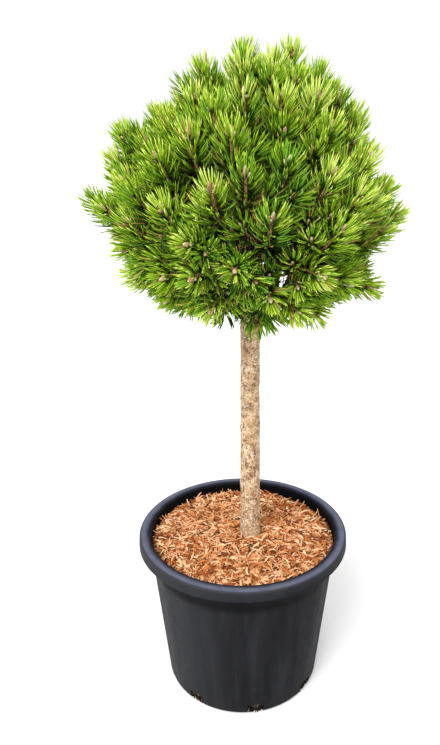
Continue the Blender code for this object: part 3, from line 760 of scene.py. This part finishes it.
def make_mulch_chips():
    rng = random.Random(31)
    pick = rng.uniform
    inner = pot_wall_radius(MULCH_TOP) - POT_WALL
    trunk = TRUNK_FOOT
    shape = Shape()
    weights = [share for _, _, share in CHIP_TINTS]
    numbers = range(len(CHIP_TINTS))
    for index in range(LOOSE_CHIPS):
        flake = rng.random() < FLAKE_SHARE
        length = pick(0.011, 0.023) if flake else pick(0.011, 0.034)
        width = pick(0.0042, 0.0085) if flake else pick(0.0014, 0.0037)
        thickness = pick(0.0007, 0.0015) if flake else pick(0.0008, 0.0018)
        room = inner - length * 0.5
        radius = room * sqrt(rng.random())
        turn = pick(0, tau)
        x, y = polar(radius, turn)
        if hypot(x - trunk.x, y - trunk.y) < 0.0215 + length * 0.22:
            continue
        lift = pick(-0.0022, 0.0042) if index > SUNK_CHIPS else pick(-0.004, 0.001)
        pitch = rng.gauss(0, 0.2)
        place = Vector((x, y, bed_height(x, y) + lift))
        tint = rng.choices(numbers, weights)[0]
        heading = pick(0, tau)
        add_chip(shape, rng, tint, place, heading, pitch, rng.gauss(0, 0.5), length, width, thickness)
    for _ in range(EDGE_CHIPS):
        length = pick(0.012, 0.026)
        width = pick(0.0013, 0.004)
        turn = pick(0, tau)
        pitch = -pick(0.1, 0.8)
        heading = turn + rng.gauss(0, 0.9)
        reach = inner - 0.0012 - length * 0.5 * cos(pitch) * abs(cos(heading - turn))
        radius = reach - rng.random() ** 2 * 0.02
        x, y = polar(radius, turn)
        rise = length * 0.5 * sin(-pitch) - 0.0035
        place = Vector((x, y, bed_height(x, y) + max(0.0, rise * 0.75)))
        tint = rng.choices(numbers, weights)[0]
        add_chip(shape, rng, tint, place, heading, pitch, rng.gauss(0, 0.5), length, width, 0.0012)
    shape.piece("mulch_chips", palette("chip", CHIP_TINTS, 0.9, 0.06), smooth=False)


# ---- trunk and boughs


def trunk_axis(height):
    share = (height - TRUNK_FOOT.z) / (TRUNK_TOP.z - TRUNK_FOOT.z)
    return TRUNK_FOOT.lerp(TRUNK_TOP, share)


def trunk_radius(height):
    heights = TRUNK_FOOT.z, TRUNK_NECK_HEIGHT, TRUNK_TOP.z
    radius = np.interp(height, heights, (TRUNK_FOOT_RADIUS, TRUNK_NECK_RADIUS, TRUNK_TOP_RADIUS))
    return radius + ROOT_FLARE * exp(-(height - TRUNK_FOOT.z) / ROOT_FLARE_HEIGHT)


def trunk_scars(rng):
    """Places of old whorls and needle pegs: (height, turn, size, proud)."""
    pick = rng.uniform
    found = []
    for whorl in OLD_WHORLS:
        for k in range(WHORL_SCARS):
            turn = tau * (k + pick(-0.2, 0.2)) / WHORL_SCARS + whorl * 40
            found.append((whorl + pick(-0.004, 0.004), turn, pick(0.0035, 0.0052), 0.001))
    for k in range(BARK_PEGS):
        height = 0.3 + 0.5 * (k + rng.random()) / BARK_PEGS
        found.append((height, k * GOLDEN_TURN, pick(0.0011, 0.0017), pick(0.0002, 0.00055)))
    return found


def make_trunk():
    """The trunk with flaking bark, ring swellings at old whorls and small pegs."""
    sides, rows = 96, 340
    heights = np.linspace(TRUNK_FOOT.z, TRUNK_TOP.z, rows)
    turns = circle(sides)
    relief = np.zeros((rows, sides))
    for i, height in enumerate(heights):
        for k, turn in enumerate(turns):
            spot = Vector((cos(turn) * 0.017, sin(turn) * 0.017, height))
            relief[i, k] = (
                noise.noise(spot * 45) * 0.00045
                + noise.noise(Vector((spot.x * 210, spot.y * 210, spot.z * 330))) * 0.0003
                + abs(noise.noise(Vector((spot.x * 420, spot.y * 420, spot.z * 640)))) * 0.0003
            )
    for height, turn, size, proud in trunk_scars(random.Random(41)):
        near = np.abs(heights - height) < size * 2.5
        around = np.abs((turns - turn + pi) % tau - pi) * 0.0165
        spread = (heights[near][:, None] - height) ** 2 * 1.6 + around[None, :] ** 2
        relief[near] += proud * np.exp(-spread / size**2)
    for whorl in OLD_WHORLS:
        relief += (0.0004 * np.exp(-(((heights - whorl) / 0.008) ** 2)))[:, None]
    rings = []
    for height, bumps in zip(heights, relief):
        knobs = 1 + 0.011 * np.sin(3 * turns + 41 * height) + 0.009 * np.sin(5 * turns - 67 * height)
        radius = trunk_radius(height) * knobs + bumps
        centre = trunk_axis(height)
        ring = np.stack([centre.x + radius * np.cos(turns), centre.y + radius * np.sin(turns)], 1)
        rings.append(np.column_stack([ring, np.full(sides, height)]))
    middle = np.array(TRUNK_TOP.xy)
    for share in (0.75, 0.4):
        ring = rings[rows - 1].copy()
        ring[:, :2] = middle + (ring[:, :2] - middle) * share
        ring[:, 2] += TRUNK_CAP * (1 - share)
        rings.append(ring)
    shape = Shape()
    caps = end_caps(sides, (len(rings) - 1) * sides)
    shape.add(np.array(rings), (wrapped_faces(len(rings), sides), 0), (caps, 0))
    shape.piece("trunk_bark", [trunk_bark()], ["trunk"])


def crown_point(outward, reach):
    flat = Vector((outward.x, outward.y, 0)) * CROWN_WIDTH_RADIUS
    return CROWN_CENTRE + (flat + UP * outward.z * CROWN_HEIGHT_RADIUS) * reach


def reach_of(point):
    """How far out a point lies, where 1 is the crown's ellipsoid."""
    offset = point - CROWN_CENTRE
    flat = Vector((offset.x, offset.y, 0)) / CROWN_WIDTH_RADIUS
    return (flat + UP * offset.z / CROWN_HEIGHT_RADIUS).length


class Mass:
    """Where one mass of foliage and its bough lie, as the model has them."""

    def __init__(self, tier, number, root_height, elevation, sway, reach, lift, azimuth):
        self.tier = tier
        self.lift = lift
        self.name = f"{tier}_{number}"
        stagger = 1 if number % 2 else -1
        vigour, raised, outgrown = OWN_GROWTH.get(self.name, (1, 0, 1))
        self.outward = direction(azimuth, elevation + raised + sway * stagger)
        self.reach = reach * vigour
        self.leader_reach = self.reach * outgrown
        self.root = trunk_axis(root_height + WHORL_STAGGER * (number % WHORL_LEVELS - 1))
        self.end = crown_point(self.outward, self.leader_reach)
        chord = self.end - self.root
        leaving = direction(azimuth, 0) * (1 - BOUGH_RISE) + UP * BOUGH_RISE
        if tier == "crest":
            leaving = leaving + UP
        leaving.normalize()
        self.path = bezier(
            self.root,
            self.root + leaving * chord.length * BOUGH_LEAVING,
            self.root.lerp(self.end, BOUGH_BEND),
            self.end,
            PATH_STEPS + 1,
        )

    def at(self, share):
        return self.path[round(share * PATH_STEPS)]

    def heading(self, share):
        step = round(share * PATH_STEPS)
        return (self.path[min(step + 1, PATH_STEPS)] - self.path[max(step - 1, 0)]).normalized()


def all_masses():
    return [
        Mass(tier, number, *rule, azimuth)
        for tier, *rule, azimuths in TIERS
        for number, azimuth in enumerate(azimuths, 1)
    ]


def make_boughs(masses):
    """Limbs with scaly bark, from inside the trunk to the hub that each mass grows from."""
    rng = np.random.default_rng(51)
    shape = Shape()
    sides = 12
    for mass in masses:
        steps = list(range(0, round(HUB_SHARE * PATH_STEPS) + 1, 2))
        points = [mass.path[step] for step in steps]
        shares = np.array(steps) / (BOUGH_SHARE * PATH_STEPS)
        radii = BOUGH_ROOT_RADIUS + (BOUGH_TIP_RADIUS - BOUGH_ROOT_RADIUS) * np.minimum(shares, 1.25)
        radii += 0.0016 * np.exp(-shares * 9)
        rings = np.cumsum(rng.normal(0, 0.02, (len(steps), sides)), 0) * 0.4
        ruffle = rings + rng.normal(0, 0.055, (len(steps), sides))
        add_tube(shape, points, radii, sides, rng.uniform(0, tau), ruffle)
    tones = (0.06, 0.03, 0.016), (0.19, 0.105, 0.055), (0.36, 0.225, 0.13)
    finish = bough_bark("bough_bark_scaly", *tones)
    shape.piece("boughs_bark", [finish], [f"bough_{mass.name}" for mass in masses])


# ---- foliage


def unit(vectors):
    return vectors / np.linalg.norm(vectors, axis=1, keepdims=True)


def any_side(axis, rng):
    """A direction square to an axis, at random."""
    return Matrix.Rotation(rng.uniform(0, tau), 3, axis) @ axis.orthogonal()


class Shoot:
    """A twig from its mass's hub to a bud, where the model has it."""

    def __init__(self, mass, outward, reach, rng):
        self.mass = mass
        self.outward = outward
        self.heading = (outward * (1 - mass.lift) + UP * mass.lift).normalized()
        self.bud = crown_point(outward, reach)
        self.foot = self.bud - self.heading * BRUSH_LENGTH
        hub = mass.at(HUB_SHARE)
        length = (self.foot - hub).length
        leaving = hub + mass.heading(HUB_SHARE) * length * TWIG_BEND
        arriving = self.foot - self.heading * length * TWIG_BEND
        self.twig = bezier(hub, leaving, arriving, self.foot, 13)
        # The model draws twice here, for its needles, and what it draws later has to stay the same.
        rng.random(), rng.random()


def shoots_of(mass, rng):
    side = mass.outward.orthogonal().normalized()
    first = rng.uniform(0, tau)
    found = []
    for i in range(SIDE_SHOOTS + 1):
        outward = mass.outward
        turn = first + tau * i / SIDE_SHOOTS
        turn += rng.uniform(-SHOOT_TURN_JITTER, SHOOT_TURN_JITTER)
        spread = radians(SHOOT_SPREAD_DEG + rng.uniform(-1, 1) * SHOOT_JITTER_DEG)
        reach = mass.reach * (1 - rng.uniform(0, SHOOT_SHORTFALL))
        if i:
            around = Matrix.Rotation(turn, 3, mass.outward) @ side
            outward = Matrix.Rotation(spread, 3, around) @ mass.outward
        found.append(Shoot(mass, outward, reach if i else mass.leader_reach, rng))
    return found


def along_line(points, spacing):
    found = [points[0]]
    for start, end in zip(points, points[1:]):
        steps = ceil((end - start).length / spacing)
        found += [start.lerp(end, (i + 1) / steps) for i in range(steps)]
    return found


def grow_shoots(masses):
    """Every shoot of the crown in order, less those that would crowd an earlier one."""
    kept = []
    for seed, mass in enumerate(masses, 100):
        rng = random.Random(seed)
        for shoot in shoots_of(mass, rng):
            brush = along_line([shoot.foot, shoot.bud], SITE_SPACING)
            crowded = any(
                (mine - theirs).length < SHOOT_GAP + (0 if other.mass is mass else SHOOT_GAP)
                for other in kept
                for theirs in along_line([other.foot, other.bud], SITE_SPACING)
                for mine in brush
            )
            if not crowded:
                kept.append(shoot)
    return kept


class Spray:
    """One needled stem: its line from root to bud, and how its needles and bud look."""

    def __init__(self, mass, line, needled, fresh, vigour, light, cool):
        self.mass = mass
        self.line = np.array(line)
        self.needled = needled
        self.fresh = fresh
        self.vigour = vigour
        self.light = light
        self.cool = cool
        self.dry = dryness(Vector(line[-1]))
        steps = np.linalg.norm(np.diff(self.line, axis=0), axis=1)
        self.lengths = np.concatenate([[0], np.cumsum(steps)])

    def back_from_bud(self, back):
        """Points and headings at distances back from the bud."""
        at = self.lengths[-1] - back
        near, place, far = (
            np.stack([np.interp(at + step, self.lengths, axis) for axis in self.line.T], 1)
            for step in (-0.004, 0, 0.004)
        )
        return place, unit(far - near)


def growth_and_painted_light(point, outward, rng):
    """How light a spray's needles are painted, from 0 inside and below to 1 on top: partly the yellower
    colour of sun-grown shoots, partly painted light and shade.
    """
    height = (point.z - CROWN_CENTRE.z) / CROWN_HEIGHT_RADIUS
    return 0.6 + 0.01 * height + 0.02 * outward.z + rng.gauss(0, 0.11)


def is_cool(point, rng):
    """Sprays low on the +X side are bluer, as painted shade there, and a few elsewhere for variety."""
    low = point.z < CROWN_CENTRE.z and point.x > 0.05
    return rng.random() < (0.3 if low else 0.08)


def dryness(point):
    """Share of a spray's needles that have browned: more inside and below, where light is short."""
    depth = max(0.0, 1 - reach_of(point))
    low = max(0.0, CROWN_CENTRE.z - point.z) / CROWN_HEIGHT_RADIUS
    return 0.01 + 0.22 * depth + 0.06 * low


def in_thin_place(point):
    start, end = THIN_PLACE
    along = (end - start).normalized()
    offset = point - start
    return (offset - along * offset.dot(along)).length < THIN_PLACE_RADIUS * 1.6


def side_spray(shoot, taken, rng):
    """A short stem off a shoot's twig, turned to where the crown has most room."""
    best, most = None, 0.0
    for _ in range(SIDE_SPRAY_TRIES):
        start = shoot.twig[rng.randrange(5, 12)]
        around = any_side(shoot.heading, rng)
        turn = radians(rng.uniform(*SIDE_SPRAY_TURN_DEG))
        leaving = Matrix.Rotation(turn, 3, around) @ shoot.heading
        heading = (leaving * 0.65 + shoot.outward * 0.25 + UP * 0.25).normalized()
        length = rng.uniform(*SIDE_SPRAY_LENGTH)
        end = start + leaving * length * 0.4 + heading * length * 0.6
        if reach_of(end) > shoot.mass.reach * SIDE_SPRAY_REACH or in_thin_place(end):
            continue
        room = float(np.min(np.linalg.norm(np.array(taken) - np.array(end), axis=1)))
        if room > most:
            bend = start + leaving * length * 0.45
            best, most = bezier(start, bend, end - heading * length * 0.3, end, 8), room
    return best


def inner_spray(mass, rng):
    """A shaded stem off the bough itself, sparse and dark."""
    share = rng.uniform(0.3, HUB_SHARE)
    start, along = mass.at(share), mass.heading(share)
    around = any_side(along, rng)
    leaving = (along * rng.uniform(0.3, 0.8) + around).normalized()
    length = rng.uniform(*INNER_SPRAY_LENGTH)
    bend = start + leaving * length * 0.5
    end = bend + (leaving + along * 0.5 + UP * 0.4).normalized() * length * 0.5
    return bezier(start, bend, bend, end, 8)


def all_sprays(masses, shoots):
    """The model's shoots, the finer side stems that fill the room between them, and shaded ones."""
    rng = random.Random(61)
    found = []
    taken = []
    for shoot in shoots:
        line = shoot.twig + [shoot.foot.lerp(shoot.bud, share) for share in (0.25, 0.5, 0.75, 1)]
        needled = BRUSH_LENGTH + OLD_NEEDLES
        light = growth_and_painted_light(shoot.bud, shoot.outward, rng)
        cool = is_cool(shoot.bud, rng)
        found.append(Spray(shoot.mass, line, needled, SHOOT_FRESH, 1.0, light, cool))
        taken += along_line([shoot.foot, shoot.bud], SITE_SPACING)
    for shoot in shoots:
        for _ in range(SIDE_SPRAYS):
            line = side_spray(shoot, taken, rng)
            if line is None:
                continue
            taken += line[3:]
            # Side stems are painted darker than the shoots, as painted shade.
            light = growth_and_painted_light(line[-1], shoot.outward, rng) - SIDE_SHADE
            needled = rng.uniform(*SIDE_NEEDLED)
            cool = is_cool(line[-1], rng)
            found.append(Spray(shoot.mass, line, needled, SIDE_FRESH, SIDE_VIGOUR, light, cool))
    for mass in masses:
        for _ in range(INNER_SPRAYS):
            line = inner_spray(mass, rng)
            if not in_thin_place(line[-1]):
                # Stems on the boughs get dark tints, as painted shade inside the crown.
                look = INNER_NEEDLED, INNER_FRESH, INNER_VIGOUR, INNER_LIGHT
                found.append(Spray(mass, line, *look, False))
        for _ in range(BARE_TWIGS):
            found.append(Spray(mass, inner_spray(mass, rng), 0.0, 0.0, BARE_VIGOUR, 0.0, False))
    return found


# The greens from shade to lime are one needle colour in darker and lighter copies: partly real new and old
# growth, partly painted light and shade.
NEEDLE_TINTS = (
    ("shade", (0.02, 0.038, 0.002)),
    ("deep", (0.05, 0.095, 0.004)),
    ("forest", (0.095, 0.185, 0.006)),
    ("mid", (0.165, 0.305, 0.01)),
    ("leaf", (0.265, 0.435, 0.018)),
    ("bright", (0.41, 0.58, 0.042)),
    ("lime", (0.62, 0.745, 0.15)),
    ("cool_low", (0.03, 0.1, 0.004)),
    ("cool_high", (0.155, 0.365, 0.02)),
    ("straw", (0.44, 0.33, 0.075)),
    ("rust", (0.22, 0.11, 0.026)),
    ("olive", (0.17, 0.175, 0.025)),
)
GREENS = 7
COOL_LOW, COOL_HIGH, STRAW, RUST, OLIVE = range(GREENS, len(NEEDLE_TINTS))
# Faces of a needle's foot, middle and tip, over its eight vertices from the foot up.
NEEDLE_FACES = (
    np.array([[0, 2, 1], [0, 3, 2], [0, 1, 3]]),
    np.array([[1, 2, 5, 4], [2, 3, 6, 5], [3, 1, 4, 6]]),
    np.array([[4, 5, 7], [5, 6, 7], [6, 4, 7]]),
)


def open_air(points, rng):
    """Which needles leave the thin place open: a few still cross it."""
    start, end = (np.array(point) for point in THIN_PLACE)
    along = (end - start) / np.linalg.norm(end - start)
    offset = points - start
    across = offset - (offset @ along)[..., None] * along
    clear = np.linalg.norm(across, axis=-1).min(axis=1) > THIN_PLACE_RADIUS
    return clear | (rng.random(len(points)) < THIN_PLACE_CROSSERS)


def needle_tints(spray, back, rng):
    """Tints of each needle's foot, middle and tip, by the spray's painted light and the needle's age."""
    count = len(back)
    # Older needles are painted darker and those near the bud lighter: partly real ageing and new growth,
    # partly painted shade deep in the tuft and painted light on its tips.
    age = np.clip((back - spray.fresh * 0.4) / AGEING_LENGTH, 0, 1)
    tone = spray.light - 0.6 * age + rng.normal(0, 0.07, count)
    tone = tone + 0.15 * np.clip(1 - back / 0.02, 0, 1)
    middle = np.clip(np.round(tone * GREENS), 0, GREENS - 1).astype(int)
    # A needle's foot is a step or two darker and its tip a step lighter: partly painted shade at the foot,
    # painted light on the tip.
    low = np.clip(middle - 1 - (rng.random(count) < 0.5), 0, GREENS - 1)
    high = np.clip(middle + (rng.random(count) < 0.75), 0, GREENS - 1)
    tints = np.array([low, middle, high])
    if spray.cool:
        cooled = rng.random(count) < 0.42
        shade = COOL_LOW + (rng.random(count) < 0.6)[cooled]
        tints[:, cooled] = np.array([0 * shade + COOL_LOW, shade, 0 * shade + COOL_HIGH])
    draw = rng.random(count)
    dull, lush = draw < 0.55 * age, draw > 0.85
    tints[1, dull & (tints[1] < 4)] = OLIVE
    tints[:, lush] = [[COOL_LOW], [COOL_HIGH], [COOL_HIGH]]
    dry = rng.random(count) < spray.dry + 0.12 * age
    tints[:, dry] = [[RUST], [STRAW], [STRAW]]
    return tints


def add_needles(shape, spray, rng):
    """Every needle of a spray, in pairs that stand round the stem and curl forwards."""
    if not spray.needled:
        return
    fresh = int(spray.fresh * PAIRS_PER_METRE * spray.vigour)
    old = int((spray.needled - spray.fresh) * OLD_PAIRS_PER_METRE)
    back = np.concatenate([
        spray.fresh * (np.arange(fresh) + rng.random(fresh)) / fresh,
        spray.fresh + (spray.needled - spray.fresh) * (np.arange(old) + rng.random(old)) / max(old, 1),
    ])
    back = np.maximum(back, 0.003)
    turn = np.arange(len(back)) * GOLDEN_TURN + rng.normal(0, 0.25, len(back))
    back, turn = np.repeat(back, 2), np.repeat(turn, 2)
    count = len(back)
    pair = np.tile([-1.0, 1.0], count // 2)
    root, along = spray.back_from_bud(back)
    side = unit(np.cross(along, (0.31, 0.22, 0.93)))
    across = np.cross(along, side)
    out = side * np.cos(turn)[:, None] + across * np.sin(turn)[:, None]
    flank = np.cross(along, out)
    lean = np.interp(back, LEAN_BACK, LEAN_DEG)
    lean = np.radians(lean + np.repeat(rng.normal(0, 6, count // 2), 2) + rng.normal(0, 1.5, count))
    splay = np.radians(pair * (PAIR_SPLAY_DEG + rng.normal(0, 1.4, count)))
    aim = along * np.cos(lean)[:, None] + out * np.sin(lean)[:, None]
    aim = unit(aim + flank * np.tan(splay)[:, None] + rng.normal(0, 0.03, (count, 3)))
    curl = np.radians(NEEDLE_CURL_DEG + rng.normal(0, 6, count))[:, None]
    later = unit(aim + along * np.tan(curl) + (0, 0, NEEDLE_LIFT) + rng.normal(0, 0.03, (count, 3)))
    length = NEEDLE_LENGTH * np.interp(back, LENGTH_BACK, LENGTH_SHARES)
    length = length * (0.72 + 0.28 * spray.vigour) * rng.uniform(0.87, 1.06, count)
    length = length[:, None]
    first, second = NEEDLE_RINGS
    root = root + out * 0.001
    middle = root + aim * length * first
    later = unit(aim + (later - aim) * NEEDLE_BENDS[0])
    bend = middle + later * length * (second - first)
    last = unit(later + (later - aim) * NEEDLE_BENDS[1])
    tip = bend + last * length * (1 - second)
    lower = unit(np.cross(aim, out))
    ridge = unit(np.cross(lower, aim))
    width = NEEDLE_HALF_WIDTH * rng.uniform(0.82, 1.12, count)[:, None]
    rings = []
    for centre, share in zip((middle, bend), NEEDLE_RING_WIDTHS):
        rings += [
            centre + lower * width * share + ridge * width * 0.35 * share,
            centre - ridge * width * 0.7 * share,
            centre - lower * width * share + ridge * width * 0.35 * share,
        ]
    keep = open_air(np.stack([middle, bend, tip], 1), rng)
    vertices = np.stack([root, *rings, tip], 1)[keep]
    start = np.arange(len(vertices))[:, None, None] * 8
    parts = zip(NEEDLE_FACES, needle_tints(spray, back, rng)[:, keep])
    faces = [((part + start).reshape(-1, len(part[0])), np.repeat(tint, 3)) for part, tint in parts]
    shape.add(vertices, *faces)


def needle_group(mass):
    """The piece that a mass's needles go in: its tier, and its half of the crown in the wide tiers."""
    if mass.tier in ("crest", "upper"):
        return mass.tier
    return f"{mass.tier}_{'front' if mass.outward.y < 0 else 'back'}"


def make_needles(masses, sprays):
    finishes = palette("needle", NEEDLE_TINTS, 0.45, 0.14)
    rng = np.random.default_rng(71)
    groups = {}
    for mass in masses:
        groups.setdefault(needle_group(mass), []).append(mass)
    for name, members in groups.items():
        shape = Shape()
        for spray in sprays:
            if spray.mass in members:
                add_needles(shape, spray, rng)
        replaced = [f"foliage_{mass.name}" for mass in members]
        shape.piece(f"needles_{name}", finishes, replaced)


def make_twigs(sprays):
    """Stems of every spray, knobbly where older needles have gone."""
    rng = np.random.default_rng(81)
    shape = Shape()
    sides = 6
    for spray in sprays:
        root, tip = (TWIG_RADIUS, SHOOT_TIP_RADIUS) if spray.vigour == 1 else (0.0021, 0.0015)
        if not spray.needled:
            root, tip = 0.0016, 0.0006
        count = len(spray.line)
        radii = np.linspace(root, tip, count)
        ruffle = rng.normal(0, 0.2, (count, sides))
        add_tube(shape, spray.line, radii, sides, rng.uniform(0, 6), ruffle)
    tones = (0.085, 0.038, 0.01), (0.34, 0.185, 0.05), (0.72, 0.47, 0.17)
    finish = bough_bark("twig_bark", *tones)
    shape.piece("twigs", [finish])


BUD_OUTLINE = ((0.0, 0.62), (0.16, 0.95), (0.42, 1.0), (0.68, 0.74), (0.88, 0.36), (1.0, 0.05))


def add_bud(shape, rng, foot, heading, length, radius):
    """A pointed bud in overlapping scales, darker at its foot."""
    sides = 6
    points, radii = [], []
    for share, wide in BUD_OUTLINE:
        points.append(foot + heading * length * share)
        radii.append(radius * wide)
    ruffle = np.tile([0.09, -0.07], (len(points), sides // 2))
    ruffle[1::2] *= -1
    ruffle += rng.normal(0, 0.05, ruffle.shape)
    tones = np.clip(np.round(np.linspace(0, 2, len(points) - 1) + rng.normal(0, 0.4)), 0, 2).astype(int)
    tints = np.clip(np.repeat(tones, sides) + (rng.random((len(points) - 1) * sides) < 0.25), 0, 3)
    add_tube(shape, points, radii, sides, rng.uniform(0, 6), ruffle, tints)


def make_buds(sprays):
    rng = np.random.default_rng(91)
    pick = rng.uniform
    shape = Shape()
    for spray in sprays:
        foot, along = spray.back_from_bud(np.array([0.001]))
        foot, along = Vector(foot[0]), Vector(along[0])
        main = spray.vigour == 1
        if spray.light < BUD_LEAST_LIGHT:
            continue
        length = pick(0.015, 0.02) if main else pick(0.01, 0.014)
        radius = pick(0.0033, 0.0043) if main else pick(0.0025, 0.0033)
        add_bud(shape, rng, foot, along, length, radius)
        side = along.orthogonal().normalized()
        for k in range(int(rng.integers(2, 5)) if main else int(rng.integers(0, 2))):
            around = Matrix.Rotation(k * GOLDEN_TURN + pick(-0.3, 0.3), 3, along) @ side
            small = length * pick(0.45, 0.7)
            heading = (along + around * 0.6).normalized()
            add_bud(shape, rng, foot + around * radius * 0.6, heading, small, radius * 0.66)
    finishes = [
        plain("bud_brown", (0.31, 0.16, 0.07), 0.6, 0.2),
        plain("bud_rose", (0.5, 0.31, 0.165), 0.6, 0.2),
        plain("bud_grey", (0.63, 0.47, 0.3), 0.55, 0.2),
        plain("bud_resin", (0.78, 0.65, 0.49), 0.5, 0.2),
    ]
    shape.piece("buds", finishes)


# ---- stage


def make_stage():
    far = 40.0
    mesh = bpy.data.meshes.new("floor")
    mesh.from_pydata([(-far, -far, 0), (far, -far, 0), (far, far, 0), (-far, far, 0)], [], [(0, 1, 2, 3)])
    mesh.materials.append(plain("studio_floor", (0.93, 0.93, 0.93), 0.9, 0.1))
    placed("floor", mesh)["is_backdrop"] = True


def add_sun(name, energy, turn_deg, spread_deg):
    lamp = bpy.data.lights.new(name, "SUN")
    lamp.energy = energy
    lamp.angle = radians(spread_deg)
    placed(name, lamp).rotation_euler = [radians(turn) for turn in turn_deg]


def make_studio():
    make_stage()
    world = bpy.data.worlds.new("studio")
    world.use_nodes = True
    sky = world.node_tree.nodes["Background"].inputs
    sky["Color"].default_value = (1, 1, 1, 1)
    sky["Strength"].default_value = 1.0
    bpy.context.scene.world = world
    add_sun("key", 2.7, (46, 0, -32), 34)
    add_sun("fill", 0.4, (66, 0, 24), 50)
    bpy.context.scene.view_settings.view_transform = "Standard"
    data = bpy.data.cameras.new("camera")
    data.lens = CAMERA_LENS
    data.shift_x = CAMERA_SHIFT
    camera = placed("camera", data)
    camera.location = CAMERA_PLACE
    camera.rotation_euler = (radians(90 - CAMERA_DOWN_DEG), 0, 0)
    bpy.context.scene.camera = camera


def dress():
    make_studio()
    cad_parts["root_ball"].material_slots[0].material = growing_medium()
    make_pot()
    make_drain_roots()
    make_mulch_bed()
    make_mulch_chips()
    make_trunk()
    masses = all_masses()
    make_boughs(masses)
    sprays = all_sprays(masses, grow_shoots(masses))
    make_twigs(sprays)
    make_buds(sprays)
    make_needles(masses, sprays)


dress()
visual_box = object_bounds()
boxes = {"cad": cad_box, "visual": visual_box}
boxes = {name: [list(map(float, corner)) for corner in box] for name, box in boxes.items()}
